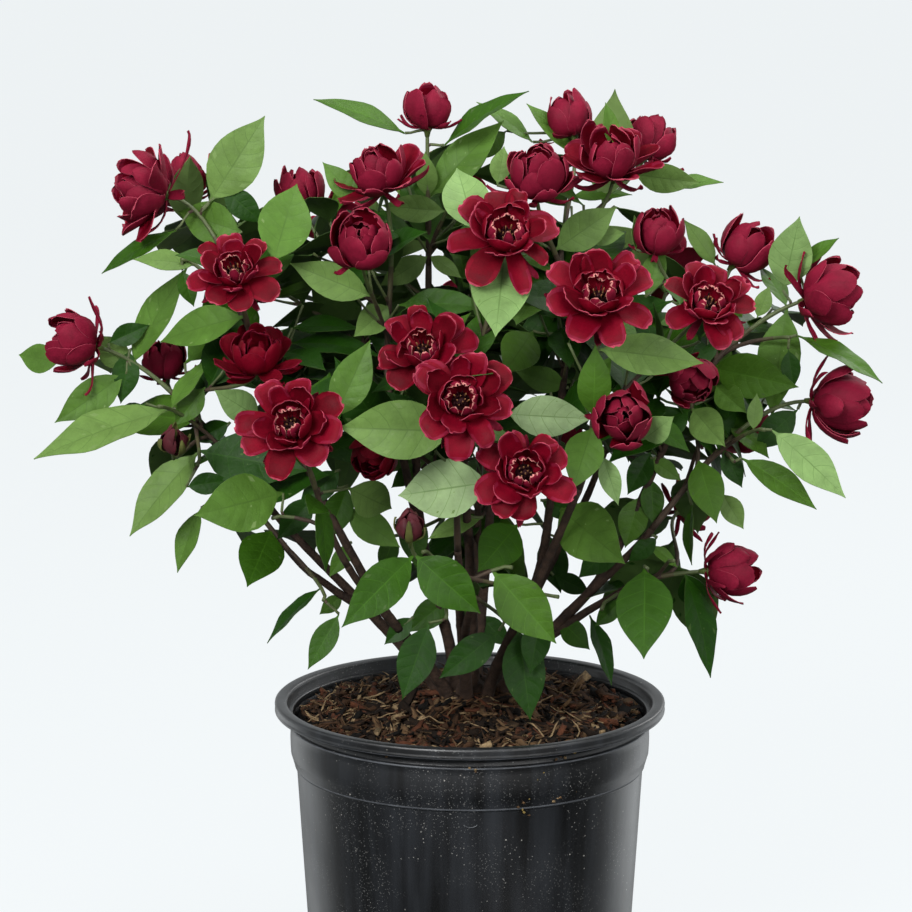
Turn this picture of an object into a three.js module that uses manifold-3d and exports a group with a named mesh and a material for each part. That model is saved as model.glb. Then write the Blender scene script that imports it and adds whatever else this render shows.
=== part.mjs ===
// A Carolina allspice in flower in a black nursery pot: a clump of stems from one root crown, forked
// boughs, and sprays of opposite leaves and wine-red blooms. Millimetres, +Z up, origin at the middle
// of the pot's underside. +X is the shrub's right and -Y its front.

import * as THREE from "three";
import { mergeVertices } from "three/addons/utils/BufferGeometryUtils.js";
import Module from "manifold-3d";

const wasm = await Module();
wasm.setup();

// Driving dimensions of the pot, an 11 litre nursery container
const POT_HEIGHT = 240;
const RIM_RADIUS = 140;
const RIM_MOUTH_RADIUS = 131;
const RIM_LIP = 8;
const RIM_EDGE = 1;
const COLLAR_RADIUS = 128.5;
const COLLAR_TOP = 224;
const COLLAR_BOTTOM = 202;
const NECK_RADIUS = 127;
const SHOULDER = 193;
const SHOULDER_RADIUS = 124.8;
const FOOT_RADIUS = 112.3;
const WALL = 2.2;
const FLOOR = 3;
const POT_SIDES = 36;
const DRAIN_COUNT = 6;
const DRAIN_RADIUS = 8;
const DRAIN_CIRCLE = 82;
const DRAIN_SIDES = 8;

// Soil and root crown
const SOIL_EDGE = POT_HEIGHT - 14;
const SOIL_MIDDLE = POT_HEIGHT - 7;
const SOIL_PLATEAU = 44;
const SOIL_LUMP = 1.6;
const CROWN_FLARE = 35;
const CROWN_NECK = 25;
const CROWN_HEIGHT = 22;
const CROWN_LOBES = 9;
const STEM_FOOT = SOIL_MIDDLE + 8;

// Limbs
const STEM_RADIUS = 5.2;
const BOUGH_RADIUS = 3.9;
const LIMB_TIP_RADIUS = 2.9;
const STEM_SHARE = 0.62;
const BOUGH_SHARE = 0.64;
const LIMB_STEPS = 6;
const LIMB_SIDES = 5;
const BEND = 0.3;

// Twigs
const TWIG_RADIUS = 2.1;
const TWIG_TIP_RADIUS = 1.6;
const TWIG_STEPS = 3;
const TWIG_SIDES = 3;
const FIRST_FORK = 0.1;
const FORK_SPACING = 0.09;

// Leaves, in opposite pairs. Low on the crown they hang, and near its top they stand level.
const FIRST_PAIR = 17;
const INTERNODE = 34;
const LEAF_THICKNESS = 0.022;
const LEAF_HALF_WIDTH = 0.27;
const LEAF_WIDEST = 0.42;
const LEAF_FOLD = 0.1;
const LEAF_SAG = 0.11;
const LEAF_ROOT = 0.8;
const SECOND_TRIES = [0, 30, -30];
const LEAF_RISE = 18;
const TOP_RISE = 9;
const RISE_JITTER = 9;
const LEAST_DROOP = 0.05;
const DROOP = 1.05;
const DROOP_FROM = 520;
const DROOP_TO = 300;
const BEARING_JITTER = 11;
const LENGTH_JITTER = 0.13;
const LENGTH_LOSS = 0.06;
const LOWEST_PAIR = 0.12;
const FACE_ALONG = 0.5;
const FACE_OUT = 0.5;
const FACE_UP = 0.6;

// Blooms, as shares of the open radius. Each ring is [out, up] for a plain ring, or [out, up, out, up]
// for the tips and the notches of a whorl.
const OPEN_RADIUS = 36;
const BLOOMS = {
  open: { petals: 6, under: -0.1, top: 0.24, rings: [
    [0.42, 0.02], [1, 0.26, 0.66, 0.2], [0.44, 0.18], [0.6, 0.66], [0.28, 0.26],
  ] },
  half: { petals: 6, under: -0.1, top: 1.12, rings: [
    [0.34, 0.02], [0.84, 0.42, 0.52, 0.3], [0.38, 0.24], [0.5, 0.62], [0.34, 1.02],
  ] },
  globe: { petals: 5, under: -0.1, top: 1.14, rings: [
    [0.28, 0], [0.64, 0.18, 0.4, 0.14], [0.42, 0.22], [0.6, 0.56], [0.4, 1.02],
  ] },
  cup: { petals: 5, under: -0.1, top: 1.12, rings: [
    [0.26, 0], [0.54, 0.16, 0.36, 0.14], [0.36, 0.2], [0.5, 0.56], [0.32, 1.02],
  ] },
  bud: { petals: 5, under: -0.06, top: 0.66, rings: [[0.23, 0.12], [0.26, 0.36], [0.14, 0.58]] },
};

// Clearances between pieces that touch on the real plant, and what fusing may smooth away
const SEAT = 0.3;
const CROWN_SEAT = 0.48;
const SPACE = 0.6;
const SMOOTHING = [0, 0.05, 0.1, 0.2, 0.3, 0.4, 0.5];
const CORNER_GAP = 5e-4;
const SEED = 20;

// Each spray is one mass of foliage on one limb. A limb with "root" is a stem, whose foot lies on that
// bearing and distance in the root crown. A limb with "from" forks from that limb, at the share "at" of
// its length. Each shoot is [kind, tip across, tip away, tip up, [facing], first leaf pair's
// bearing, leaf length, leaf pairs]. A bearing of 0 is to the shoot's right and 90 above it.
const SPRAYS = {
  left_low: { root: [182, 19], shoots: [
    ["half", -262, -10, 492, [-0.9, -0.3, 0.25], 100, 84, 3],
    ["cup", -218, 40, 468, [-0.1, -0.2, 0.97], 0, 74, 2],
    ["leafy", -215, -58, 462, [-0.35, -0.9, 0.1], 185, 96, 3],
    ["bud", -203, -78, 434, [0.1, -0.5, 0.85], 100, 56, 1],
    ["leafy", -189, -56, 420, [-0.3, -0.85, -0.1], 205, 84, 3],
    ["half", -162, 8, 480, [0, -0.5, 0.8], 150, 70, 2],
  ] },
  left_lowest: { from: "left_low", at: 0.42, shoots: [
    ["leafy", -172, -26, 398, [-0.5, -0.7, 0.1], 240, 74, 3],
    ["leafy", -102, -62, 326, [-0.4, -0.8, 0], 180, 56, 2],
    ["leafy", -150, 30, 344, [-0.6, 0.3, -0.3], 80, 76, 2],
  ] },
  left_front: { root: [222, 19], shoots: [
    ["open", -120, -165, 462, [-0.1, -0.95, 0.25], 184, 84, 3],
    ["leafy", -135, -100, 392, [-0.2, -0.8, -0.1], 225, 68, 3],
  ] },
  left_top: { from: "left_front", at: 0.52, shoots: [
    ["open", -158, -100, 557, [-0.1, -0.85, 0.5], 190, 82, 3],
    ["half", -220, -20, 604, [-0.95, -0.2, 0.1], 290, 80, 3],
    ["half", -205, 55, 606, [-0.5, 0.3, 0.8], 78, 84, 3],
    ["leafy", -199, -42, 562, [-0.4, -0.85, 0], 240, 84, 2],
  ] },
  top_left: { root: [172, 8], shoots: [
    ["half", -63, -50, 618, [-0.3, -0.45, 0.85], 200, 76, 3],
    ["globe", -73, -110, 568, [0, -0.7, 0.7], 180, 80, 3],
    ["cup", -116, 20, 590, [-0.2, 0.1, 0.95], 170, 78, 3],
  ] },
  top: { from: "top_left", at: 0.55, shoots: [
    ["cup", -30, 10, 652, [0, 0, 1], 0, 86, 3],
    ["leafy", -12, -20, 606, [0.2, -0.2, 0.95], 5, 80, 3],
    ["cup", -40, 96, 612, [-0.2, 0.5, 0.8], 40, 80, 3],
  ] },
  front_centre: { root: [262, 19], shoots: [
    ["open", -7, -210, 490, [0.05, -0.97, 0.2], 350, 80, 3],
    ["open", 36, -214, 441, [0, -0.97, 0.2], 341, 80, 3],
    ["globe", -66, -104, 432, [-0.2, -0.6, -0.3], 225, 66, 3],
  ] },
  front_low: { from: "front_centre", at: 0.36, shoots: [
    ["bud", -40, -178, 394, [0, -0.4, 0.9], 20, 56, 1],
    ["leafy", -32, -135, 376, [-0.1, -0.9, -0.2], 0, 78, 2],
    ["leafy", 28, -120, 362, [0.1, -0.9, -0.2], 320, 76, 2],
    ["leafy", 24, -95, 319, [0.2, -0.9, -0.2], 300, 74, 2],
    ["leafy", -17, -95, 320, [-0.2, -0.9, -0.2], 215, 70, 2],
    ["leafy", 60, -104, 338, [0.5, -0.7, 0.1], 330, 68, 2],
  ] },
  front_high: { root: [292, 8], shoots: [
    ["open", 23, -145, 588, [0, -0.9, 0.45], 275, 76, 4],
    ["open", -40, -160, 518, [-0.1, -0.9, 0.4], 215, 74, 3],
  ] },
  right_front: { root: [304, 19], shoots: [
    ["open", 83, -168, 550, [0, -0.85, 0.5], 338, 84, 3],
    ["open", 156, -130, 535, [0.15, -0.85, 0.5], 328, 86, 3],
    ["half", 99, -168, 472, [0, -0.95, 0.3], 230, 70, 3],
  ] },
  top_right: { from: "right_front", at: 0.5, shoots: [
    ["half", 45, -62, 610, [0, -0.5, 0.85], 130, 78, 3],
    ["half", 98, -34, 620, [-0.1, -0.5, 0.85], 350, 82, 3],
    ["cup", 64, 44, 640, [-0.2, 0.2, 0.95], 100, 80, 3],
    ["cup", 132, 44, 626, [0.35, 0.2, 0.9], 0, 78, 3],
  ] },
  right_low: { root: [348, 19], shoots: [
    ["half", 244, -20, 459, [0.93, -0.2, -0.1], 100, 82, 3],
    ["half", 196, 26, 428, [0.6, 0.3, 0.1], 20, 80, 3],
    ["globe", 151, -62, 478, [0.2, -0.7, -0.2], 340, 80, 3],
    ["leafy", 203, -60, 446, [0.3, -0.9, 0], 335, 84, 2],
    ["leafy", 184, -40, 420, [0.3, -0.9, 0], 342, 80, 2],
  ] },
  right_high: { from: "right_low", at: 0.5, shoots: [
    ["half", 236, -12, 530, [0.85, -0.35, 0.25], 90, 84, 3],
    ["cup", 191, 18, 555, [0.55, -0.2, 0.75], 170, 82, 3],
    ["globe", 133, -24, 568, [0, -0.3, 0.95], 200, 76, 3],
    ["leafy", 222, -30, 506, [0.35, -0.9, 0.1], 335, 84, 2],
  ] },
  right_lowest: { from: "right_low", at: 0.3, shoots: [
    ["half", 172, -30, 340, [0.97, -0.1, 0.1], 250, 70, 3],
    ["leafy", 122, -78, 352, [0.3, -0.9, -0.1], 262, 82, 1],
    ["leafy", 92, -48, 316, [0.3, -0.7, -0.3], 280, 64, 1],
    ["leafy", 142, -52, 352, [0.4, -0.85, -0.1], 320, 80, 2],
    ["half", 168, 76, 372, [0.6, 0.6, 0.1], 40, 76, 3],
  ] },
};

// The back of the crown is its front turned half round: these sprays take the shoots of the named ones
// that stand well forward.
const TURN_BACK_FROM = -85;
const TURN_AT = 5;
const TURNED = {
  back_right: { root: [38, 19], of: ["left_front", "left_top"] },
  back_high: { root: [58, 8], of: ["front_high", "top_left"] },
  back_centre: { root: [92, 19], of: ["front_centre"] },
  back_low: { of: ["front_low"], from: "back_centre", at: 0.36 },
  back_left: { of: ["right_front"], from: "back_high", at: 0.34 },
};

const UP = new THREE.Vector3(0, 0, 1);
const vec = (x, y, z) => new THREE.Vector3(x, y, z);
const along = (point, direction, distance) => point.clone().addScaledVector(direction, distance);
const radians = THREE.MathUtils.degToRad;

function random(seed) {
  let state = (SEED * 7919 + seed * 104729) >>> 0;
  return () => {
    state = (state + 0x6d2b79f5) >>> 0;
    let t = Math.imul(state ^ (state >>> 15), state | 1);
    t ^= t + Math.imul(t ^ (t >>> 7), t | 61);
    return ((t ^ (t >>> 14)) >>> 0) / 4294967296;
  };
}

// Two directions square to a third: one level and to its right, one above it
function squareTo(direction) {
  const right = vec(-direction.y, direction.x, 0);
  if (right.length() < 0.05) right.set(1, 0, 0);
  right.normalize();
  return [right, direction.clone().cross(right).normalize()];
}

// Solids

function meshOf(points, faces) {
  const geometry = new THREE.BufferGeometry();
  geometry.setAttribute("position", new THREE.Float32BufferAttribute(points.flatMap((p) => p.toArray()), 3));
  geometry.setIndex(faces.flat());
  return geometry;
}

function solidOf(geometry) {
  const bare = geometry.clone();
  bare.deleteAttribute("normal");
  bare.deleteAttribute("uv");
  const merged = mergeVertices(bare, 1e-4);
  return new wasm.Manifold(new wasm.Mesh({
    numProp: 3,
    vertProperties: new Float32Array(merged.attributes.position.array),
    triVerts: new Uint32Array(merged.index.array),
  }));
}

function geometryOf(solid) {
  const mesh = solid.getMesh();
  const geometry = new THREE.BufferGeometry();
  geometry.setAttribute("position", new THREE.BufferAttribute(new Float32Array(mesh.vertProperties), 3));
  geometry.setIndex(new THREE.BufferAttribute(new Uint32Array(mesh.triVerts), 1));
  geometry.computeVertexNormals();
  return geometry;
}

// The largest body of a solid, with any hollow that was sealed in it filled and any scrap dropped
function mainBody(solid) {
  return solid.decompose().reduce((best, body) => (body.volume() > best.volume() ? body : best));
}

// One solid of many that overlap, smoothed only as far as keeps its corners from falling together
function fuse(parts) {
  const whole = wasm.Manifold.union(parts);
  const bodies = SMOOTHING.map((tolerance) => mainBody(whole.simplify(tolerance)));
  const sound = bodies.find((solid) => {
    const corners = new THREE.BufferGeometry();
    corners.setAttribute("position", geometryOf(solid).attributes.position);
    return mergeVertices(corners, CORNER_GAP).attributes.position.count === corners.attributes.position.count;
  });
  return sound || bodies.at(-1);
}

// A tapering limb or twig round a line of points, with flat ends square to the line
function limbSolid(line, wide, narrow, sides) {
  const points = [];
  const faces = [];
  const last = line.length - 1;
  line.forEach((point, i) => {
    const direction = line[Math.min(i + 1, last)].clone().sub(line[Math.max(i - 1, 0)]).normalize();
    if (i === 0) direction.copy(line.ends[0]);
    if (i === last) direction.copy(line.ends[1]);
    const [right, above] = squareTo(direction);
    for (let k = 0; k < sides; k++) {
      const angle = (2 * Math.PI * k) / sides;
      const radius = wide + ((narrow - wide) * i) / last;
      points.push(along(along(point, right, radius * Math.cos(angle)), above, radius * Math.sin(angle)));
    }
  });
  for (let i = 0; i < last; i++) {
    for (let k = 0; k < sides; k++) {
      const [a, b] = [i * sides + k, i * sides + ((k + 1) % sides)];
      faces.push([a, b, b + sides], [a, b + sides, a + sides]);
    }
  }
  for (let k = 1; k < sides - 1; k++) {
    faces.push([0, k + 1, k], [last * sides, last * sides + k, last * sides + k + 1]);
  }
  return solidOf(meshOf(points, faces));
}

function curveLine(curve, steps) {
  const line = curve.getPoints(steps);
  line.ends = [curve.getTangent(0), curve.getTangent(1)];
  return line;
}

// A leaf blade of eight faces: folded a little along its rib, widest below the middle, drooping at its
// tip. Its root reaches into the twig.
function leafSolid({ node, axis, face, length }) {
  const side = axis.clone().cross(face).normalize();
  const half = length * LEAF_HALF_WIDTH;
  const thick = (length * LEAF_THICKNESS) / 2;
  const at = (l, w, h) => along(along(along(node, axis, l * length), side, w * half), face, h);
  const points = [
    along(node, axis, -LEAF_ROOT),
    at(LEAF_WIDEST, -1, LEAF_FOLD * half),
    at(1, 0, -LEAF_SAG * length),
    at(LEAF_WIDEST, 1, LEAF_FOLD * half),
    at(LEAF_WIDEST, 0, thick),
    at(LEAF_WIDEST, 0, -thick),
  ];
  const faces = [];
  for (let k = 0; k < 4; k++) {
    const next = (k + 1) % 4;
    faces.push([4, next, k], [5, k, next]);
  }
  return solidOf(meshOf(points, faces));
}

// Joins one ring of points to the next, where a ring of tips and notches has twice the points of a plain one
function stitch(lower, upper) {
  const faces = [];
  const at = (ring, i) => ring[i % ring.length];
  const count = Math.min(lower.length, upper.length);
  for (let k = 0; k < count; k++) {
    if (lower.length === upper.length) {
      faces.push([lower[k], at(lower, k + 1), at(upper, k + 1)], [lower[k], at(upper, k + 1), upper[k]]);
    } else if (upper.length > lower.length) {
      const notch = upper[2 * k + 1];
      faces.push([lower[k], at(lower, k + 1), notch], [lower[k], notch, upper[2 * k]]);
      faces.push([at(lower, k + 1), at(upper, 2 * k + 2), notch]);
    } else {
      const notch = lower[2 * k + 1];
      faces.push([lower[2 * k], notch, upper[k]], [notch, at(upper, k + 1), upper[k]]);
      faces.push([notch, at(lower, 2 * k + 2), at(upper, k + 1)]);
    }
  }
  return faces;
}

// A bloom as one closed surface from its underside round the rim of its whorl to the top of its heart
function bloomSolid(kind, base, facing) {
  const { petals, under, rings, top } = BLOOMS[kind];
  const [right, above] = squareTo(facing);
  const points = [along(base, facing, under * OPEN_RADIUS), along(base, facing, top * OPEN_RADIUS)];
  const loops = rings.map((ring) => {
    const count = petals * (ring.length / 2);
    return Array.from({ length: count }, (_, k) => {
      const angle = (2 * Math.PI * k) / count;
      const odd = ring.length > 2 && k % 2 ? 2 : 0;
      const out = ring[odd] * OPEN_RADIUS;
      const level = along(along(base, right, out * Math.cos(angle)), above, out * Math.sin(angle));
      return points.push(along(level, facing, ring[odd + 1] * OPEN_RADIUS)) - 1;
    });
  });
  const faces = loops.slice(1).flatMap((loop, i) => stitch(loops[i], loop));
  loops[0].forEach((p, k, loop) => faces.push([0, loop[(k + 1) % loop.length], p]));
  loops.at(-1).forEach((p, k, loop) => faces.push([1, p, loop[(k + 1) % loop.length]]));
  return solidOf(meshOf(points, faces));
}

// Pot and soil

function latheGeometry(profile, sides) {
  const lathe = new THREE.LatheGeometry(profile.map(([r, z]) => new THREE.Vector2(r, z)), sides);
  return lathe.rotateX(Math.PI / 2);
}

function reshape(geometry, move) {
  const place = geometry.attributes.position;
  for (let i = 0; i < place.count; i++) {
    place.setXYZ(i, ...move(place.getX(i), place.getY(i), place.getZ(i)));
  }
}

function potSolid() {
  const shell = solidOf(latheGeometry([
    [0, 0],
    [FOOT_RADIUS, 0],
    [SHOULDER_RADIUS, SHOULDER],
    [COLLAR_RADIUS, COLLAR_BOTTOM],
    [COLLAR_RADIUS, COLLAR_TOP],
    [NECK_RADIUS, COLLAR_TOP + 2],
    [NECK_RADIUS, POT_HEIGHT - RIM_LIP],
    [RIM_RADIUS, POT_HEIGHT - RIM_LIP + RIM_EDGE],
    [RIM_RADIUS - RIM_EDGE, POT_HEIGHT],
    [RIM_MOUTH_RADIUS, POT_HEIGHT],
    [NECK_RADIUS - WALL, COLLAR_TOP],
    [SHOULDER_RADIUS - WALL, SHOULDER],
    [FOOT_RADIUS - WALL, FLOOR],
    [0, FLOOR],
  ], POT_SIDES));
  const drains = Array.from({ length: DRAIN_COUNT }, (_, k) => {
    const angle = (2 * Math.PI * (k + 0.5)) / DRAIN_COUNT;
    const hole = new THREE.CylinderGeometry(DRAIN_RADIUS, DRAIN_RADIUS, 3 * FLOOR, DRAIN_SIDES);
    hole.rotateX(Math.PI / 2);
    hole.translate(DRAIN_CIRCLE * Math.cos(angle), DRAIN_CIRCLE * Math.sin(angle), 0);
    return solidOf(hole);
  });
  return drains.reduce((pot, hole) => pot.subtract(hole), shell);
}

// Soil fills the pot to its edge, rises to a level plateau round the stems, and is a little lumpy
function soilSolid() {
  const gap = WALL + 2 * SEAT;
  const shell = latheGeometry([
    [0, FLOOR + SEAT],
    [FOOT_RADIUS - gap, FLOOR + SEAT],
    [SHOULDER_RADIUS - gap, SHOULDER],
    [NECK_RADIUS - gap, COLLAR_TOP],
    [NECK_RADIUS - gap, SOIL_EDGE],
    [102, SOIL_EDGE + 1.5],
    [72, SOIL_EDGE + 3.5],
    [SOIL_PLATEAU, SOIL_MIDDLE],
    [0, SOIL_MIDDLE],
  ], POT_SIDES);
  reshape(shell, (x, y, z) => {
    const lumpy = z > SOIL_EDGE && Math.hypot(x, y) > SOIL_PLATEAU + 5;
    const lump = SOIL_LUMP * Math.sin(0.13 * x + 0.4) * Math.cos(0.11 * y - 0.7);
    return [x, y, lumpy ? z + lump : z];
  });
  return solidOf(shell);
}

// The root crown is a low lobed stump, flat where it meets the soil. "Grown" makes it fatter all round.
function rootCrownSolid(grown) {
  const flat = SOIL_MIDDLE + SEAT - grown;
  const stump = latheGeometry([
    [0, flat],
    [CROWN_FLARE + grown, flat],
    [CROWN_NECK + 3 + grown, flat + 0.3 * CROWN_HEIGHT],
    [CROWN_NECK + grown, flat + 0.75 * CROWN_HEIGHT + grown],
    [CROWN_NECK - 7 + grown, flat + CROWN_HEIGHT + 2 * grown],
    [0, flat + CROWN_HEIGHT + 3 + 2 * grown],
  ], 3 * CROWN_LOBES);
  reshape(stump, (x, y, z) => {
    const lobe = 1 + 0.07 * Math.cos(CROWN_LOBES * Math.atan2(y, x));
    return [x * lobe, y * lobe, z];
  });
  return solidOf(stump);
}

// The plan of the plant: every spray with its shoots as points and directions, and its limb's curve

function shootOf([kind, x, y, z, facing, bearing, leaf, pairs], half) {
  return {
    kind,
    tip: vec(half * x, half * y, z),
    facing: vec(half * facing[0], half * facing[1], facing[2]).normalize(),
    bearing,
    leaf,
    pairs,
  };
}

function planSprays() {
  const plans = {};
  for (const [name, spray] of Object.entries(SPRAYS)) {
    plans[name] = { ...spray, shoots: spray.shoots.map((shoot) => shootOf(shoot, 1)) };
  }
  for (const [name, spray] of Object.entries(TURNED)) {
    const forward = spray.of.flatMap((of) => SPRAYS[of].shoots).filter((shoot) => shoot[2] < TURN_BACK_FROM);
    plans[name] = { ...spray, shoots: forward.map((shoot) => shootOf(shoot, -1)) };
  }
  for (const plan of Object.values(plans)) {
    plan.middle = plan.shoots.reduce((sum, shoot) => sum.add(shoot.tip), vec(0, 0, 0));
    plan.middle.divideScalar(plan.shoots.length);
  }
  return plans;
}

// A stem leaves the root crown on its own side of it and runs fairly straight towards its spray. A bough
// leaves its stem along it and bends away.
function planLimb(plan, plans) {
  const bough = Boolean(plan.from);
  const start = vec(0, 0, 0);
  const heading = vec(0, 0, 0);
  if (bough) {
    const parent = plans[plan.from].curve;
    start.copy(placeOn(parent, LIMB_STEPS, plan.at));
    heading.copy(parent.getTangent(plan.at));
  } else {
    const [bearing, distance] = plan.root;
    start.set(distance * Math.cos(radians(bearing)), distance * Math.sin(radians(bearing)), STEM_FOOT);
    heading.copy(plan.middle).sub(start).normalize().add(vec(0, 0, 0.35)).normalize();
  }
  const end = start.clone().lerp(plan.middle, bough ? BOUGH_SHARE : STEM_SHARE);
  const reach = start.distanceTo(end);
  const final = plan.middle.clone().sub(end).normalize().add(vec(0, 0, 0.1)).normalize();
  plan.curve = new THREE.CubicBezierCurve3(
    start, along(start, heading, BEND * reach), along(end, final, -BEND * reach), end,
  );
  plan.end = end;
  plan.final = final;
}

// The place at a share of a twig's or limb's faceted length
function placeOn(curve, steps, share) {
  const step = Math.min(Math.floor(share * steps), steps - 1);
  return curve.getPoint(step / steps).lerp(curve.getPoint((step + 1) / steps), share * steps - step);
}

// A shoot of a spray: the first runs on from the limb's tip, and the others branch from the first.
function shootCurve(plan, index) {
  const shoot = plan.shoots[index];
  let start = along(plan.end, plan.final, SEAT);
  let heading = plan.final;
  if (index > 0) {
    const share = FIRST_FORK + FORK_SPACING * index;
    start = placeOn(plan.shoots[0].curve, TWIG_STEPS, share);
    heading = plan.shoots[0].curve.getTangent(share);
  }
  const reach = start.distanceTo(shoot.tip);
  return new THREE.CubicBezierCurve3(
    start, along(start, heading, BEND * reach), along(shoot.tip, shoot.facing, -BEND * reach), shoot.tip,
  );
}

function droopAt(height) {
  return LEAST_DROOP + DROOP * THREE.MathUtils.smoothstep(DROOP_FROM - height, 0, DROOP_FROM - DROOP_TO);
}

// A leaf's axis and the direction that its face looks in, when it leaves its twig at a bearing
function leafPose(shoot, { node, direction, rise, length }, bearing) {
  const [right, above] = squareTo(direction);
  const out = right.multiplyScalar(Math.cos(radians(bearing)));
  out.addScaledVector(above, Math.sin(radians(bearing)));
  const axis = out.multiplyScalar(Math.cos(rise)).addScaledVector(direction, Math.sin(rise));
  axis.addScaledVector(UP, -droopAt(node.z)).normalize();
  const faceOut = shoot.tip.y < TURN_AT ? -FACE_OUT : FACE_OUT;
  const face = direction.clone().multiplyScalar(FACE_ALONG).add(vec(0, faceOut, FACE_UP));
  face.addScaledVector(axis, -face.dot(axis)).normalize();
  return { node, axis, face, length };
}

// Where a shoot's leaves stand: opposite pairs, each turned a quarter from the last, counted from the tip
function leavesOf(shoot, seed) {
  const next = random(seed);
  const length = shoot.curve.getLength();
  const leaves = [];
  for (let pair = 0; pair < shoot.pairs; pair++) {
    const share = Math.max(LOWEST_PAIR, 1 - (FIRST_PAIR + pair * INTERNODE) / length);
    const node = placeOn(shoot.curve, TWIG_STEPS, share);
    const direction = shoot.curve.getTangent(share);
    for (let side = 0; side < 2; side++) {
      leaves.push({
        node,
        direction,
        bearing: shoot.bearing + 90 * pair + 180 * side + BEARING_JITTER * (2 * next() - 1),
        rise: radians(LEAF_RISE + TOP_RISE * direction.z + RISE_JITTER * (2 * next() - 1)),
        length: shoot.leaf * (1 - LENGTH_LOSS * pair + LENGTH_JITTER * (2 * next() - 1)),
      });
    }
  }
  return leaves;
}

// The pieces laid down so far, so that a new one can be refused where it comes too near another
const laid = [];

function lay(solid, spray, shoot) {
  laid.push({ solid, spray, shoot, box: solid.boundingBox() });
}

function isClear(solid, others) {
  const box = solid.boundingBox();
  const apart = (other, i) => box.min[i] > other.box.max[i] + SPACE || other.box.min[i] > box.max[i] + SPACE;
  return others.every((other) => (
    apart(other, 0) || apart(other, 1) || apart(other, 2) || solid.minGap(other.solid, 2 * SPACE) >= SPACE
  ));
}

const limbName = (name, plan) => (plan.from ? "bough_" : "stem_") + name;

function limbOf(plan, grown) {
  const wide = grown + (plan.from ? BOUGH_RADIUS : STEM_RADIUS);
  return limbSolid(curveLine(plan.curve, LIMB_STEPS), wide, grown + LIMB_TIP_RADIUS, LIMB_SIDES);
}

// A limb starts clear of what carries it: the root crown under a stem, or the limb that a bough forks from
function limbSolids(plans) {
  const solids = {};
  for (const [name, plan] of Object.entries(plans)) {
    const carrier = plan.from ? limbOf(plans[plan.from], SEAT) : rootCrownSolid(CROWN_SEAT);
    solids[limbName(name, plan)] = mainBody(limbOf(plan, 0).subtract(carrier));
  }
  return solids;
}

// A shoot's twig with its bloom, left out where it would meet another spray or a limb
function layShoot(name, plan, index) {
  const shoot = plan.shoots[index];
  const wide = index ? TWIG_RADIUS : LIMB_TIP_RADIUS;
  const parts = [limbSolid(curveLine(shoot.curve, TWIG_STEPS), wide, TWIG_TIP_RADIUS, TWIG_SIDES)];
  if (shoot.kind in BLOOMS) parts.push(bloomSolid(shoot.kind, shoot.tip, shoot.facing));
  const others = laid.filter(({ spray }) => spray !== name && spray !== limbName(name, plan));
  shoot.grows = parts.every((part) => isClear(part, others));
  if (!shoot.grows) return [];
  parts.forEach((part) => lay(part, name, index));
  return parts;
}

// A shoot's leaves, each turned aside, or else left out, where it would meet anything but its own shoot
function layLeaves(name, index, shoot, leaves) {
  const others = laid.filter(({ spray, shoot: other }) => spray !== name || other !== index);
  const grown = [];
  for (const leaf of leaves) {
    const tries = SECOND_TRIES.map((turn) => leafSolid(leafPose(shoot, leaf, leaf.bearing + turn)));
    const solid = tries.find((blade) => isClear(blade, others));
    if (solid) grown.push(solid);
  }
  grown.forEach((solid) => lay(solid, name, index));
  return grown;
}

function build() {
  const plans = planSprays();
  Object.values(plans).forEach((plan) => planLimb(plan, plans));
  const solids = { pot: potSolid(), soil: soilSolid(), root_crown: rootCrownSolid(0), ...limbSolids(plans) };
  for (const [name, solid] of Object.entries(solids)) lay(solid, name, 0);

  const masses = {};
  for (const [name, plan] of Object.entries(plans)) {
    masses[name] = plan.shoots.flatMap((shoot, index) => {
      shoot.curve = shootCurve(plan, index);
      return layShoot(name, plan, index);
    });
  }
  Object.entries(plans).forEach(([name, plan], order) => {
    plan.shoots.forEach((shoot, index) => {
      const leaves = leavesOf(shoot, 10 * order + index);
      if (shoot.grows) masses[name].push(...layLeaves(name, index, shoot, leaves));
    });
    solids["mass_" + name] = fuse(masses[name]);
  });
  return solids;
}

// Materials, as the photographed plant shows them

const MATERIALS = {
  pot: new THREE.MeshStandardMaterial({ color: 0x1b1e22, roughness: 0.45, metalness: 0 }),
  soil: new THREE.MeshStandardMaterial({ color: 0x4a3222, roughness: 0.95, metalness: 0 }),
  bark: new THREE.MeshStandardMaterial({ color: 0x3d2c22, roughness: 0.85, metalness: 0 }),
  foliage: new THREE.MeshStandardMaterial({ color: 0x3f6b33, roughness: 0.55, metalness: 0 }),
};

function materialFor(name) {
  if (name.startsWith("mass_")) return MATERIALS.foliage;
  return MATERIALS[name] || MATERIALS.bark;
}

const shrub = new THREE.Group();
for (const [name, solid] of Object.entries(build())) {
  const mesh = new THREE.Mesh(geometryOf(solid), materialFor(name));
  mesh.name = name;
  shrub.add(mesh);
}

export default shrub;
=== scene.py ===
"""Looks of a potted Carolina allspice: bark, twigs, leaves and blooms grown from the limbs by the
source's rule, a moulded nursery pot and bark mulch. Shapes are worked out in millimetres."""

import math

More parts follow.
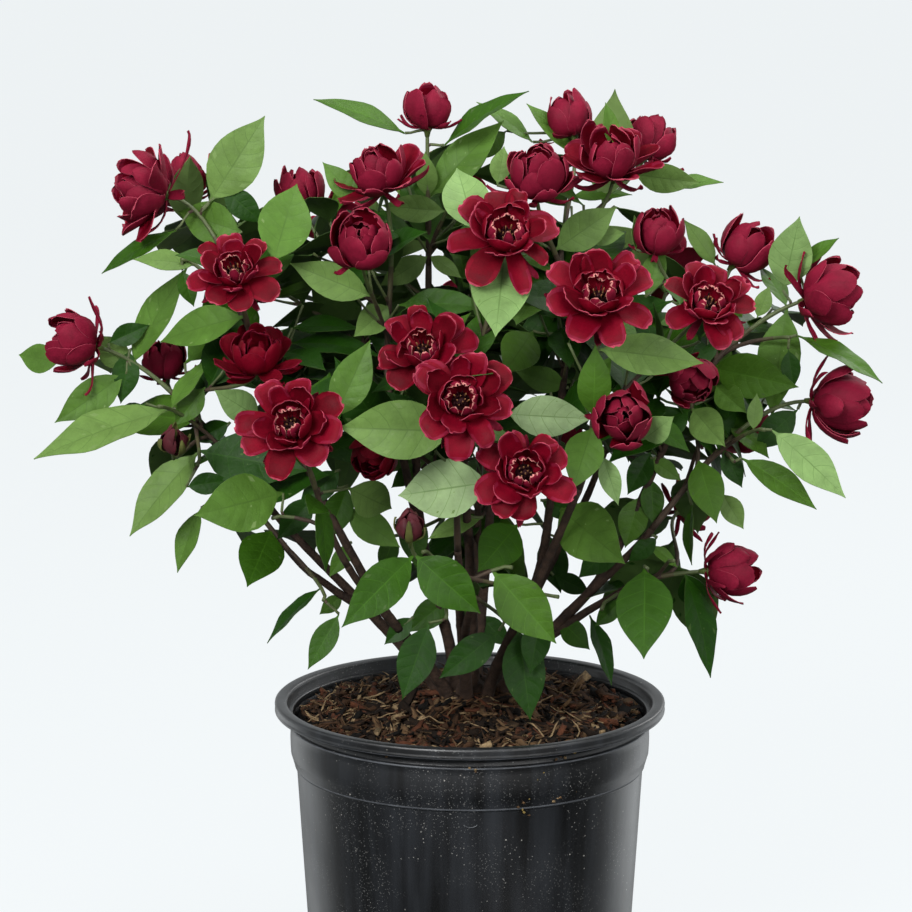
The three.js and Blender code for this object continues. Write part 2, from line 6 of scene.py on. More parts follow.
import bpy
import numpy as np
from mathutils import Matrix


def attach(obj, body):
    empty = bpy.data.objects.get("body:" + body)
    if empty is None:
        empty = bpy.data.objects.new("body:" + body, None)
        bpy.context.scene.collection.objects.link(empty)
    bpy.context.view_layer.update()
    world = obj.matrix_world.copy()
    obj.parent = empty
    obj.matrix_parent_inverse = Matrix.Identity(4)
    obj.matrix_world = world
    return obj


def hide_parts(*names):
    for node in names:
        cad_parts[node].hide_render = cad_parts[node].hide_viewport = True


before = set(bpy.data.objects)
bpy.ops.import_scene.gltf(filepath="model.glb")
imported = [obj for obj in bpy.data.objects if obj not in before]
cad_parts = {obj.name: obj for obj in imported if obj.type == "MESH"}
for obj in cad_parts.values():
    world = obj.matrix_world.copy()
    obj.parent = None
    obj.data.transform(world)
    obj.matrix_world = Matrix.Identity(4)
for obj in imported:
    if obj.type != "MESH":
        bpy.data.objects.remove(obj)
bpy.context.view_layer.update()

MM = 0.001
IMAGE_SIZE = 912
CAMERA_PLACE = np.array([-9.9, -2297.3, 837.1])
CAMERA_PITCH = math.radians(10.37)
CAMERA_LENS = 130
CAMERA_SENSOR = 36
FOCAL_PIXELS = CAMERA_LENS / CAMERA_SENSOR * IMAGE_SIZE

# The growth rule, with the same names and values as the source
SEED = 20
STEM_FOOT = 241
STEM_RADIUS = 5.2
BOUGH_RADIUS = 3.9
LIMB_TIP_RADIUS = 2.9
STEM_SHARE = 0.62
BOUGH_SHARE = 0.64
LIMB_STEPS = 6
BEND = 0.3
TWIG_RADIUS = 1.9
TWIG_TIP_RADIUS = 1.25
TWIG_STEPS = 3
FIRST_FORK = 0.1
FORK_SPACING = 0.09
FIRST_PAIR = 17
INTERNODE = 34
LEAF_HALF_WIDTH = 0.27
LEAF_FOLD = 0.1
LEAF_SAG = 0.11
LEAF_RISE = 18
TOP_RISE = 9
RISE_JITTER = 9
LEAST_DROOP = 0.05
DROOP = 1.05
DROOP_FROM = 520
DROOP_TO = 300
BEARING_JITTER = 11
LENGTH_JITTER = 0.13
LENGTH_LOSS = 0.06
LOWEST_PAIR = 0.12
FACE_ALONG = 0.5
FACE_OUT = 0.5
FACE_UP = 0.6
OPEN_RADIUS = 36
UP = np.array([0.0, 0.0, 1.0])

# Each shoot is (kind, tip across, tip away, tip up, facing, first pair's bearing, leaf length, pairs)
SPRAYS = {
    "left_low": {"root": (182, 19), "shoots": [
        ("half", -262, -10, 492, (-0.9, -0.3, 0.25), 100, 84, 3),
        ("cup", -218, 40, 468, (-0.1, -0.2, 0.97), 0, 74, 2),
        ("leafy", -215, -58, 462, (-0.35, -0.9, 0.1), 185, 96, 3),
        ("bud", -203, -78, 434, (0.1, -0.5, 0.85), 100, 56, 1),
        ("leafy", -189, -56, 420, (-0.3, -0.85, -0.1), 205, 84, 3),
        ("half", -162, 8, 480, (0, -0.5, 0.8), 150, 70, 2),
    ]},
    "left_lowest": {"from": "left_low", "at": 0.42, "shoots": [
        ("leafy", -172, -26, 398, (-0.5, -0.7, 0.1), 240, 74, 3),
        ("leafy", -102, -62, 326, (-0.4, -0.8, 0), 180, 56, 2),
        ("leafy", -150, 30, 344, (-0.6, 0.3, -0.3), 80, 76, 2),
    ]},
    "left_front": {"root": (222, 19), "shoots": [
        ("open", -120, -165, 462, (-0.1, -0.95, 0.25), 184, 84, 3),
        ("leafy", -135, -100, 392, (-0.2, -0.8, -0.1), 225, 68, 3),
    ]},
    "left_top": {"from": "left_front", "at": 0.52, "shoots": [
        ("open", -158, -100, 557, (-0.1, -0.85, 0.5), 190, 82, 3),
        ("half", -220, -20, 604, (-0.95, -0.2, 0.1), 290, 80, 3),
        ("half", -205, 55, 606, (-0.5, 0.3, 0.8), 78, 84, 3),
        ("leafy", -199, -42, 562, (-0.4, -0.85, 0), 240, 84, 2),
    ]},
    "top_left": {"root": (172, 8), "shoots": [
        ("half", -63, -50, 618, (-0.3, -0.45, 0.85), 200, 76, 3),
        ("globe", -73, -110, 568, (0, -0.7, 0.7), 180, 80, 3),
        ("cup", -116, 20, 590, (-0.2, 0.1, 0.95), 170, 78, 3),
    ]},
    "top": {"from": "top_left", "at": 0.55, "shoots": [
        ("cup", -30, 10, 652, (0, 0, 1), 0, 86, 3),
        ("leafy", -12, -20, 606, (0.2, -0.2, 0.95), 5, 80, 3),
        ("cup", -40, 96, 612, (-0.2, 0.5, 0.8), 40, 80, 3),
    ]},
    "front_centre": {"root": (262, 19), "shoots": [
        ("open", -7, -210, 490, (0.05, -0.97, 0.2), 350, 80, 3),
        ("open", 36, -214, 441, (0, -0.97, 0.2), 341, 80, 3),
        ("globe", -66, -104, 432, (-0.2, -0.6, -0.3), 225, 66, 3),
    ]},
    "front_low": {"from": "front_centre", "at": 0.36, "shoots": [
        ("bud", -40, -178, 394, (0, -0.4, 0.9), 20, 56, 1),
        ("leafy", -32, -135, 376, (-0.1, -0.9, -0.2), 0, 78, 2),
        ("leafy", 28, -120, 362, (0.1, -0.9, -0.2), 320, 76, 2),
        ("leafy", 24, -95, 319, (0.2, -0.9, -0.2), 300, 74, 2),
        ("leafy", -17, -95, 320, (-0.2, -0.9, -0.2), 215, 70, 2),
        ("leafy", 60, -104, 338, (0.5, -0.7, 0.1), 330, 68, 2),
    ]},
    "front_high": {"root": (292, 8), "shoots": [
        ("open", 23, -145, 588, (0, -0.9, 0.45), 275, 76, 4),
        ("open", -40, -160, 518, (-0.1, -0.9, 0.4), 215, 74, 3),
    ]},
    "right_front": {"root": (304, 19), "shoots": [
        ("open", 83, -168, 550, (0, -0.85, 0.5), 338, 84, 3),
        ("open", 156, -130, 535, (0.15, -0.85, 0.5), 328, 86, 3),
        ("half", 99, -168, 472, (0, -0.95, 0.3), 230, 70, 3),
    ]},
    "top_right": {"from": "right_front", "at": 0.5, "shoots": [
        ("half", 45, -62, 610, (0, -0.5, 0.85), 130, 78, 3),
        ("half", 98, -34, 620, (-0.1, -0.5, 0.85), 350, 82, 3),
        ("cup", 64, 44, 640, (-0.2, 0.2, 0.95), 100, 80, 3),
        ("cup", 132, 44, 626, (0.35, 0.2, 0.9), 0, 78, 3),
    ]},
    "right_low": {"root": (348, 19), "shoots": [
        ("half", 244, -20, 459, (0.93, -0.2, -0.1), 100, 82, 3),
        ("half", 196, 26, 428, (0.6, 0.3, 0.1), 20, 80, 3),
        ("globe", 151, -62, 478, (0.2, -0.7, -0.2), 340, 80, 3),
        ("leafy", 203, -60, 446, (0.3, -0.9, 0), 335, 84, 2),
        ("leafy", 184, -40, 420, (0.3, -0.9, 0), 342, 80, 2),
    ]},
    "right_high": {"from": "right_low", "at": 0.5, "shoots": [
        ("half", 236, -12, 530, (0.85, -0.35, 0.25), 90, 84, 3),
        ("cup", 191, 18, 555, (0.55, -0.2, 0.75), 170, 82, 3),
        ("globe", 133, -24, 568, (0, -0.3, 0.95), 200, 76, 3),
        ("leafy", 222, -30, 506, (0.35, -0.9, 0.1), 335, 84, 2),
    ]},
    "right_lowest": {"from": "right_low", "at": 0.3, "shoots": [
        ("half", 172, -30, 340, (0.97, -0.1, 0.1), 250, 70, 3),
        ("leafy", 122, -78, 352, (0.3, -0.9, -0.1), 262, 82, 1),
        ("leafy", 92, -48, 316, (0.3, -0.7, -0.3), 280, 64, 1),
        ("leafy", 142, -52, 352, (0.4, -0.85, -0.1), 320, 80, 2),
        ("half", 168, 76, 372, (0.6, 0.6, 0.1), 40, 76, 3),
    ]},
}

# The back of the crown is its front turned half round
TURN_BACK_FROM = -85
TURN_AT = 5
TURNED = {
    "back_right": {"root": (38, 19), "of": ("left_front", "left_top")},
    "back_high": {"root": (58, 8), "of": ("front_high", "top_left")},
    "back_centre": {"root": (92, 19), "of": ("front_centre",)},
    "back_low": {"of": ("front_low",), "from": "back_centre", "at": 0.36},
    "back_left": {"of": ("right_front",), "from": "back_high", "at": 0.34},
}

# Sprays whose leaves make one piece
LEAF_GROUPS = {
    "left": ("left_low", "left_lowest", "left_front", "left_top"),
    "middle": ("top_left", "top", "front_centre", "front_low", "front_high"),
    "right": ("right_front", "top_right"),
    "far_right": ("right_low", "right_high", "right_lowest"),
    "back": ("back_right", "back_high", "back_centre", "back_low", "back_left"),
}

# Leaves that stand out in the view from the front, in pixels there: where each starts and ends and how
# wide it shows
SHOWN_LEAVES = [
    (209, 203, 265, 116, 52), (273, 264, 296, 181, 54), (242, 232, 177, 212, 42),
    (176, 230, 100, 270, 15), (197, 262, 134, 258, 20), (131, 366, 186, 266, 30),
    (255, 305, 157, 339, 38), (60, 362, 17, 355, 30), (129, 370, 97, 335, 30), (126, 374, 55, 423, 36),
    (155, 410, 33, 457, 36), (155, 402, 208, 357, 17), (260, 418, 215, 391, 32),
    (334, 420, 370, 340, 40), (405, 133, 315, 96, 19), (444, 145, 525, 86, 17),
    (436, 190, 502, 119, 38), (533, 142, 479, 99, 16), (579, 152, 528, 102, 18),
    (613, 150, 607, 102, 16), (497, 185, 505, 146, 22), (474, 232, 459, 165, 48),
    (360, 203, 322, 162, 25), (430, 200, 425, 152, 22), (446, 213, 381, 206, 28),
    (375, 285, 289, 264, 36), (420, 258, 380, 287, 26), (325, 284, 268, 298, 12),
    (393, 309, 355, 337, 30), (503, 252, 497, 333, 60), (557, 250, 617, 207, 38),
    (421, 268, 462, 277, 16), (533, 331, 505, 372, 42), (569, 387, 514, 371, 26),
    (505, 414, 592, 419, 42), (437, 433, 338, 427, 60), (491, 506, 397, 496, 60),
    (558, 507, 624, 562, 58), (417, 547, 342, 625, 44), (420, 555, 480, 614, 48),
    (508, 567, 557, 643, 50), (518, 524, 480, 570, 45), (429, 623, 402, 699, 38),
    (499, 631, 440, 679, 33), (518, 627, 531, 720, 43), (348, 488, 393, 510, 40),
    (345, 508, 400, 548, 32), (483, 517, 427, 536, 18), (582, 438, 573, 489, 40),
    (602, 455, 620, 505, 22), (640, 495, 625, 548, 30), (267, 517, 248, 585, 46),
    (201, 508, 176, 572, 21), (198, 466, 128, 535, 36), (283, 493, 197, 515, 58),
    (319, 483, 310, 512, 28), (310, 514, 328, 572, 19), (352, 542, 329, 577, 18),
    (316, 585, 265, 641, 12), (339, 614, 309, 670, 25), (343, 595, 319, 614, 16),
    (643, 570, 645, 657, 57), (679, 588, 714, 677, 27), (682, 568, 698, 611, 28),
    (722, 493, 744, 529, 23), (686, 458, 717, 522, 36), (742, 458, 818, 507, 27),
    (772, 430, 847, 496, 36), (704, 361, 797, 385, 45), (597, 361, 704, 362, 42),
    (797, 335, 885, 378, 16), (775, 307, 772, 417, 43), (783, 290, 800, 218, 44),
    (800, 268, 837, 236, 14), (791, 320, 760, 264, 17), (757, 318, 770, 286, 18),
    (628, 186, 699, 184, 30), (660, 186, 723, 179, 14), (578, 200, 632, 192, 15),
    (716, 266, 684, 219, 20), (636, 250, 635, 215, 10), (645, 297, 663, 243, 25),
    (722, 275, 745, 297, 24), (590, 235, 625, 232, 20), (715, 385, 745, 413, 28),
    (755, 430, 757, 393, 16), (680, 405, 724, 445, 35), (643, 440, 673, 417, 28),
    (650, 458, 682, 480, 18), (590, 615, 613, 685, 18), (560, 620, 590, 648, 25),
    (650, 545, 678, 567, 12), (692, 505, 688, 565, 10),
]

# Gaps in and round the crown in that view where the sky shows: middle and radius
SKY_GAPS = [
    (25, 410, 20), (45, 480, 20), (100, 470, 20), (132, 455, 12), (115, 290, 28), (120, 394, 7),
    (147, 340, 5), (177, 297, 8), (262, 165, 24), (246, 196, 8), (258, 190, 11), (281, 301, 6),
    (251, 325, 6), (305, 148, 14), (335, 130, 14), (312, 233, 6), (422, 133, 6), (441, 128, 6),
    (521, 111, 14), (500, 146, 6), (418, 244, 6), (418, 282, 7), (612, 218, 9), (627, 240, 4),
    (682, 258, 6), (690, 214, 18), (743, 276, 6), (775, 212, 14), (804, 327, 4), (808, 346, 7),
    (208, 400, 8), (202, 418, 4), (182, 512, 6), (153, 545, 20), (217, 545, 14), (226, 590, 16),
    (290, 509, 5), (323, 527, 8), (296, 571, 22), (300, 625, 14), (350, 640, 14), (384, 629, 10),
    (381, 550, 5), (411, 597, 8), (462, 627, 6), (497, 598, 5), (580, 625, 7), (615, 630, 15),
    (636, 489, 7), (656, 489, 5), (680, 539, 14), (706, 545, 10), (675, 650, 12), (738, 635, 18),
    (760, 520, 25), (800, 530, 25),
]
GAP_MARGIN = 2
# The crown in that view: its middle in pixels, the bearings in degrees at which its reach is taken, from
# what shows within a window round each, and how far past it a leaf may go
CROWN_MIDDLE = (456, 400)
CROWN_BEARINGS = np.arange(0, 361, 10)
CROWN_WINDOW = 9
CROWN_SLACK = 5

# Blooms moved a little from the ends of the source's shoots, in millimetres, and their sizes and forms
BLOOM_NUDGES = {
    ("top_left", 0): (3, 0, -7), ("top_right", 2): (9, 0, 0), ("top_right", 3): (-9, 0, -1),
    ("left_top", 1): (8, 0, 0), ("left_top", 2): (6, 0, -12), ("top", 0): (0, 0, -3),
    ("front_high", 1): (9, 0, -4), ("left_front", 0): (3, 0, 4), ("front_centre", 1): (-2, 0, 3),
    ("right_front", 1): (0, 0, 5), ("top_left", 1): (0, 0, 4), ("left_low", 5): (16, -75, 9),
    ("front_centre", 2): (4, 0, 12), ("right_low", 2): (-4, 0, 8), ("right_low", 1): (-20, 0, 3),
    ("top", 2): (0, 4, -14),
    ("right_high", 1): (-4, 0, -3), ("right_low", 0): (-3, 0, 0), ("right_high", 2): (-4, 0, -2),
    ("right_lowest", 0): (-4, 0, 0), ("back_right", 2): (-12, 0, -26),
    ("back_high", 2): (8, 0, -28), ("right_lowest", 4): (-12, 0, -10), ("left_low", 0): (-2, 0, 5),
}
BLOOM_SIZES = {
    ("right_high", 0): 1.1, ("right_high", 1): 1.12, ("right_high", 2): 0.88, ("left_low", 1): 0.95,
    ("left_low", 5): 0.94, ("left_top", 0): 0.88, ("left_top", 1): 1.2, ("top_right", 1): 1.08,
    ("top_right", 3): 1.06, ("front_high", 1): 0.9, ("front_centre", 1): 0.93, ("right_front", 0): 1.05,
    ("right_front", 1): 0.93, ("right_front", 2): 1, ("front_centre", 2): 0.85, ("right_low", 0): 1.12,
    ("right_low", 2): 0.9, ("right_lowest", 0): 0.92, ("right_lowest", 4): 0.78,
}
BLOOM_FORMS = {
    ("top_right", 1): "wide", ("left_top", 1): "wide", ("top_left", 0): "wide",
    ("left_low", 5): "wide", ("right_front", 2): "globe",
}
BLOOMS_IN_SHADE = [("left_low", 5), ("front_centre", 2)]


def vec(*xyz):
    return np.array(xyz, dtype=float)


def unit(v):
    return v / np.linalg.norm(v, axis=-1, keepdims=True)


def random_source(seed):
    """The source's own random numbers, so that both grow the same plant."""
    mask = 0xFFFFFFFF
    state = (SEED * 7919 + seed * 104729) & mask

    def draw():
        nonlocal state
        state = (state + 0x6D2B79F5) & mask
        t = ((state ^ (state >> 15)) * (state | 1)) & mask
        t ^= (t + (((t ^ (t >> 7)) * (t | 61)) & mask)) & mask
        return ((t ^ (t >> 14)) & mask) / 4294967296

    return draw


def square_to(direction):
    """Two directions square to a third: one level and to its right, one above it."""
    right = vec(-direction[1], direction[0], 0)
    if np.linalg.norm(right) < 0.05:
        right = vec(1, 0, 0)
    right = unit(right)
    return right, unit(np.cross(direction, right))


def cubic(corners, t):
    """Points of a cubic curve at one or more shares of its course."""
    t = np.asarray(t, dtype=float)[..., None]
    a, b, c, d = corners
    return (1 - t) ** 3 * a + 3 * (1 - t) ** 2 * t * b + 3 * (1 - t) * t**2 * c + t**3 * d


def round_from(right, above, angle):
    """The direction at an angle from one of two square ones towards the other."""
    return right * math.cos(angle) + above * math.sin(angle)


class Curve:
    """A cubic curve that leaves its start and reaches its end along given directions."""

    def __init__(self, start, heading, end, final):
        reach = np.linalg.norm(end - start)
        self.corners = np.array([start, start + heading * BEND * reach, end - final * BEND * reach, end])

    def at(self, t):
        return cubic(self.corners, t)

    def tangent(self, t):
        t = np.asarray(t, dtype=float)[..., None]
        a, b, c, d = self.corners
        return unit((1 - t) ** 2 * (b - a) + 2 * (1 - t) * t * (c - b) + t**2 * (d - c))

    def length(self):
        return np.linalg.norm(np.diff(self.at(np.linspace(0, 1, 201)), axis=0), axis=1).sum()


def place_on(curve, steps, share):
    step = min(int(share * steps), steps - 1)
    a, b = curve.at([step / steps, (step + 1) / steps])
    return a + (b - a) * (share * steps - step)


def shoot_of(row, half):
    kind, x, y, z, facing, bearing, leaf, pairs = row
    return {
        "kind": kind,
        "tip": vec(half * x, half * y, z),
        "facing": unit(vec(half * facing[0], half * facing[1], facing[2])),
        "bearing": bearing,
        "leaf": leaf,
        "pairs": pairs,
    }


def plan_sprays():
    plans = {}
    for name, spray in SPRAYS.items():
        plans[name] = {**spray, "shoots": [shoot_of(row, 1) for row in spray["shoots"]]}
    for name, spray in TURNED.items():
        rows = [row for of in spray["of"] for row in SPRAYS[of]["shoots"] if row[2] < TURN_BACK_FROM]
        plans[name] = {**spray, "shoots": [shoot_of(row, -1) for row in rows]}
    for order, (name, plan) in enumerate(plans.items()):
        plan["name"] = name
        plan["order"] = order
        plan["middle"] = np.mean([shoot["tip"] for shoot in plan["shoots"]], axis=0)
        for index, shoot in enumerate(plan["shoots"]):
            shoot["tip"] = shoot["tip"] + vec(*BLOOM_NUDGES.get((name, index), (0, 0, 0)))
            shoot["size"] = BLOOM_SIZES.get((name, index), 1)
            shoot["form"] = BLOOM_FORMS.get((name, index), shoot["kind"])
            shoot["shaded"] = (name, index) in BLOOMS_IN_SHADE
    return plans


def plan_limb(plan, plans):
    bough = "from" in plan
    if bough:
        parent = plans[plan["from"]]["curve"]
        start = place_on(parent, LIMB_STEPS, plan["at"])
        heading = parent.tangent(plan["at"])
    else:
        bearing, distance = plan["root"]
        angle = math.radians(bearing)
        start = vec(distance * math.cos(angle), distance * math.sin(angle), STEM_FOOT)
        heading = unit(unit(plan["middle"] - start) + 0.35 * UP)
    end = start + (plan["middle"] - start) * (BOUGH_SHARE if bough else STEM_SHARE)
    final = unit(unit(plan["middle"] - end) + 0.1 * UP)
    plan["curve"] = Curve(start, heading, end, final)
    plan["end"] = end
    plan["final"] = final


def plan_shoots(plan):
    for index, shoot in enumerate(plan["shoots"]):
        start, heading = plan["end"], plan["final"]
        if index:
            first = plan["shoots"][0]["curve"]
            share = FIRST_FORK + FORK_SPACING * index
            start, heading = place_on(first, TWIG_STEPS, share), first.tangent(share)
        shoot["curve"] = Curve(start, heading, shoot["tip"], shoot["facing"])


def droop_at(height):
    t = np.clip((DROOP_FROM - height) / (DROOP_FROM - DROOP_TO), 0, 1)
    return LEAST_DROOP + DROOP * t * t * (3 - 2 * t)


def leaf_pose(leaf, bearing):
    """A leaf's axis and the direction that its face looks in, when it leaves its twig at a bearing."""
    direction = leaf["direction"]
    right, above = square_to(direction)
    out = round_from(right, above, math.radians(bearing))
    axis = out * math.cos(leaf["rise"]) + direction * math.sin(leaf["rise"])
    axis = unit(axis - UP * droop_at(leaf["node"][2]))
    face = direction * FACE_ALONG + vec(0, leaf["out"] * FACE_OUT, FACE_UP)
    return axis, unit(face - axis * face.dot(axis))


def leaves_of(shoot, seed):
    """Where a shoot's leaves stand: opposite pairs, each turned a quarter from the last."""
    draw = random_source(seed)
    length = shoot["curve"].length()
    leaves = []
    for pair in range(shoot["pairs"]):
        share = max(LOWEST_PAIR, 1 - (FIRST_PAIR + pair * INTERNODE) / length)
        node, direction = shoot["curve"].at(share), shoot["curve"].tangent(share)
        for side in range(2):
            bearing = shoot["bearing"] + 90 * pair + 180 * side + BEARING_JITTER * (2 * draw() - 1)
            rise = math.radians(LEAF_RISE + TOP_RISE * direction[2] + RISE_JITTER * (2 * draw() - 1))
            size = shoot["leaf"] * (1 - LENGTH_LOSS * pair + LENGTH_JITTER * (2 * draw() - 1))
            leaves.append({
                "node": node, "direction": direction, "bearing": bearing, "rise": rise,
                "length": size, "out": -1 if shoot["tip"][1] < TURN_AT else 1, "pair": pair,
            })
    return leaves


# The view from the front

FORWARD = vec(0, math.cos(CAMERA_PITCH), -math.sin(CAMERA_PITCH))
ABOVE = vec(0, math.sin(CAMERA_PITCH), math.cos(CAMERA_PITCH))
MIDDLE_PIXEL = IMAGE_SIZE / 2


def depth_of(points):
    return (points - CAMERA_PLACE) @ FORWARD


def project(points):
    """The pixels at which points show."""
    away = np.asarray(points) - CAMERA_PLACE
    depth = away @ FORWARD
    return np.stack([
        MIDDLE_PIXEL + FOCAL_PIXELS * away[..., 0] / depth,
        MIDDLE_PIXEL - FOCAL_PIXELS * (away @ ABOVE) / depth,
    ], axis=-1)


def ray_to(u, v):
    across = (u - MIDDLE_PIXEL) / FOCAL_PIXELS
    return unit(FORWARD + vec(across, 0, 0) + ABOVE * (MIDDLE_PIXEL - v) / FOCAL_PIXELS)


# Leaves that keep off the blooms

SAMPLE_SHARES = np.array([[0.2], [0.35], [0.5], [0.65], [0.82], [1.0]])
SAMPLE_WIDTH = 0.8
BLOOM_CENTRE = 12
BLOOM_BODY = 17
BLOOM_REACH = {"open": 31, "half": 25, "globe": 21, "cup": 20, "bud": 9}
SEEN_FACING = 0.2
SIGHT_FROM = 5
SIGHT_TO = 160
TURNS = (0, 25, -25, 50, -50)


def leaf_samples(leaf):
    """Points along a leaf's middle and to both sides of it."""
    side = np.cross(leaf["axis"], leaf["face"])
    half = side * leaf["length"] * LEAF_HALF_WIDTH * SAMPLE_WIDTH
    spine = leaf["node"] + leaf["axis"] * leaf["length"] * SAMPLE_SHARES
    return np.vstack([spine, spine[1:4] + half, spine[1:4] - half])


def leaf_middle(leaf):
    return leaf["node"] + leaf["axis"] * leaf["length"] * 0.5


def leaves_on(plans):
    return [leaf for plan in plans.values() for leaf in plan["leaves"]]


def blooms_on(plans):
    return [shoot for plan in plans.values() for shoot in plan["shoots"] if shoot["kind"] != "leafy"]


def bloom_centre(shoot):
    return shoot["tip"] + shoot["facing"] * BLOOM_CENTRE


def lines_of_sight(plans):
    """From each bloom, the lines that leaves stay off: the way it faces, and to the viewer in front."""
    lines = []
    for shoot in blooms_on(plans):
        centre = bloom_centre(shoot)
        view = unit(CAMERA_PLACE - centre)
        ways = [shoot["facing"]]
        if shoot["tip"][1] < TURN_AT or shoot["facing"].dot(view) > SEEN_FACING:
            ways.append(view)
        lines += [(centre, way, BLOOM_REACH[shoot["kind"]]) for way in ways]
    return [np.array(column) for column in zip(*lines)]


def hides(leaf, sight):
    centres, ways, radii = sight
    away = leaf_samples(leaf)[:, None, :] - centres[None]
    along = (away * ways).sum(axis=2)
    across = np.linalg.norm(away - along[..., None] * ways, axis=2)
    inside = (away**2).sum(axis=2) < BLOOM_BODY**2
    return bool((inside | (along > SIGHT_FROM) & (along < SIGHT_TO) & (across < radii)).any())


def pose_leaves(leaves, sight):
    """Gives each leaf its pose, turned aside where it would hide a bloom, and drops it where it can't."""
    kept = []
    for leaf in leaves:
        for turn in TURNS:
            leaf["axis"], leaf["face"] = leaf_pose(leaf, leaf["bearing"] + turn)
            if not hides(leaf, sight):
                kept.append(leaf)
                break
    return kept


# Leaves that stand out in the view from the front

NEAR_BASE = 26
FRONT_EDGE = -200
FRONT_HALF = 60
FRONT_FAVOUR = 0.05
LEAF_WIDTHS = (0.4, 0.56)
LEAST_SHOWN = 0.12
LONGEST_LEAF = 104
LONGEST_TWIG = 95
SHORTEST_TWIG = 4
FINE_TWIG_RADII = (1.2, 0.8)
TWIG_PLACES = np.linspace(0.25, 0.97, 17)
TWIG_FAVOUR = 0.06
INNER_FAVOUR = 0.3


def aim(leaf, row, sight):
    """Turns a leaf so that its tip falls where a shown one's does and it looks as wide as that one."""
    u0, v0, u1, v1, wide = row
    node = leaf["node"]
    ray = ray_to(u1, v1)
    nearest = CAMERA_PLACE + ray * (node - CAMERA_PLACE).dot(ray)
    gap = np.linalg.norm(nearest - node)
    scale = depth_of(node) / FOCAL_PIXELS
    width = wide * scale
    size = math.hypot(u1 - u0, v1 - v0) * scale
    length = max(gap, min(max(size, width / LEAF_WIDTHS[1]), LONGEST_LEAF))
    reach = math.sqrt(max(length**2 - gap**2, 0))
    share = float(np.clip(width / length, *LEAF_WIDTHS))
    tilt = math.acos(np.clip(width / (share * length), LEAST_SHOWN, 1))
    leaf.update(length=length, half=share / 2, shown=True)
    for way in (1, -1):
        axis = unit(nearest - way * ray * reach - node)
        seen = unit(-ray + axis * ray.dot(axis))
        aside = np.cross(axis, seen) * math.sin(tilt)
        faces = [seen * math.cos(tilt) + aside * side for side in (1, -1)]
        leaf.update(axis=axis, face=max(faces, key=lambda face: face[2]))
        if not hides(leaf, sight):
            break


def twig_to(plans, row, inner_away=None):
    """A fine twig to where a shown leaf starts, from the nearest limb or twig, and the leaf on its end."""
    best, best_cost = None, math.inf
    for plan in plans.values():
        if plan["name"] in TURNED and inner_away is None:
            continue
        for curve in [plan["curve"]] + [shoot["curve"] for shoot in plan["shoots"]]:
            points = curve.at(TWIG_PLACES)
            cost = np.linalg.norm(project(points) - vec(*row[:2]), axis=1)
            if inner_away is None:
                cost = cost + TWIG_FAVOUR * points[:, 1]
            else:
                cost = cost + INNER_FAVOUR * np.abs(points[:, 1] - inner_away)
            if cost.min() < best_cost:
                best_cost = cost.min()
                best = plan, points[cost.argmin()], curve.tangent(TWIG_PLACES[cost.argmin()])
    plan, start, tangent = best
    ray = ray_to(*row[:2])
    node = CAMERA_PLACE + ray * depth_of(start) / ray.dot(FORWARD)
    away = np.linalg.norm(node - start)
    if away > LONGEST_TWIG:
        return None
    final = unit(node - start + 0.3 * away * tangent + 0.1 * UP)
    if away > SHORTEST_TWIG:
        curve = Curve(start, unit(tangent + unit(node - start)), node, final)
        plan["twigs"].append({"curve": curve, "radii": FINE_TWIG_RADII})
    return plan, {"node": node}


def match_shown(plans, sight):
    """Gives each shown leaf to the rule's leaf that starts nearest to it, or to a fine twig of its own."""
    front = [leaf for leaf in leaves_on(plans) if leaf["node"][1] < FRONT_HALF]
    for row in SHOWN_LEAVES:
        best, best_cost = None, NEAR_BASE
        for leaf in front:
            if "shown" in leaf:
                continue
            cost = np.linalg.norm(project(leaf["node"]) - vec(*row[:2]))
            cost += FRONT_FAVOUR * (leaf["node"][1] - FRONT_EDGE)
            if cost < best_cost:
                best, best_cost = leaf, cost
        if best is None:
            made = twig_to(plans, row)
            if made is None:
                continue
            plan, best = made
            plan["leaves"].append(best)
        aim(best, row, sight)


# Which of the other leaves stay

LEAF_SPACING = 12
SHOWN_CLEAR = 11
SHOWN_SHARES = (0.2, 0.4, 0.6, 0.8)
SPOT_SHARE = 0.75
SPOT_MARGIN = 5
SPOT_LEAST = 9


def bloom_discs(plans):
    """Where each bloom shows and how far it reaches there, in pixels."""
    discs = []
    for shoot in blooms_on(plans):
        centre = bloom_centre(shoot)
        scale = FOCAL_PIXELS / depth_of(centre)
        discs.append((*project(centre), BLOOM_REACH[shoot["kind"]] * scale))
    return np.array(discs)


def round_crown(flat):
    """The bearings and distances of pixels from the crown's middle."""
    away = flat - vec(*CROWN_MIDDLE)
    return np.degrees(np.arctan2(away[:, 1], away[:, 0])) % 360, np.linalg.norm(away, axis=1)


def crown_reach(plans):
    """How far the crown reaches from its middle in the front view, at each step all round."""
    ends = [(*end, 0) for row in SHOWN_LEAVES for end in (row[:2], row[2:4])]
    spots = np.vstack([ends, bloom_discs(plans)])
    turn, far = round_crown(spots[:, :2])
    far = far + spots[:, 2]
    reach = []
    for bearing in CROWN_BEARINGS:
        apart = np.abs((turn - bearing + 180) % 360 - 180)
        reach.append(far[apart < CROWN_WINDOW].max())
    return reach


def crown_limit(turn, reach):
    return np.interp(turn, CROWN_BEARINGS, reach)


def in_sky(flat, reach):
    """Whether any of the points lies outside the crown or in a gap of it in the view from the front."""
    gaps = np.array(SKY_GAPS)
    away = np.linalg.norm(flat[:, None] - gaps[None, :, :2], axis=2)
    if (away < gaps[:, 2] + GAP_MARGIN).any():
        return True
    turn, far = round_crown(flat)
    return bool((far > crown_limit(turn, reach) + CROWN_SLACK).any())


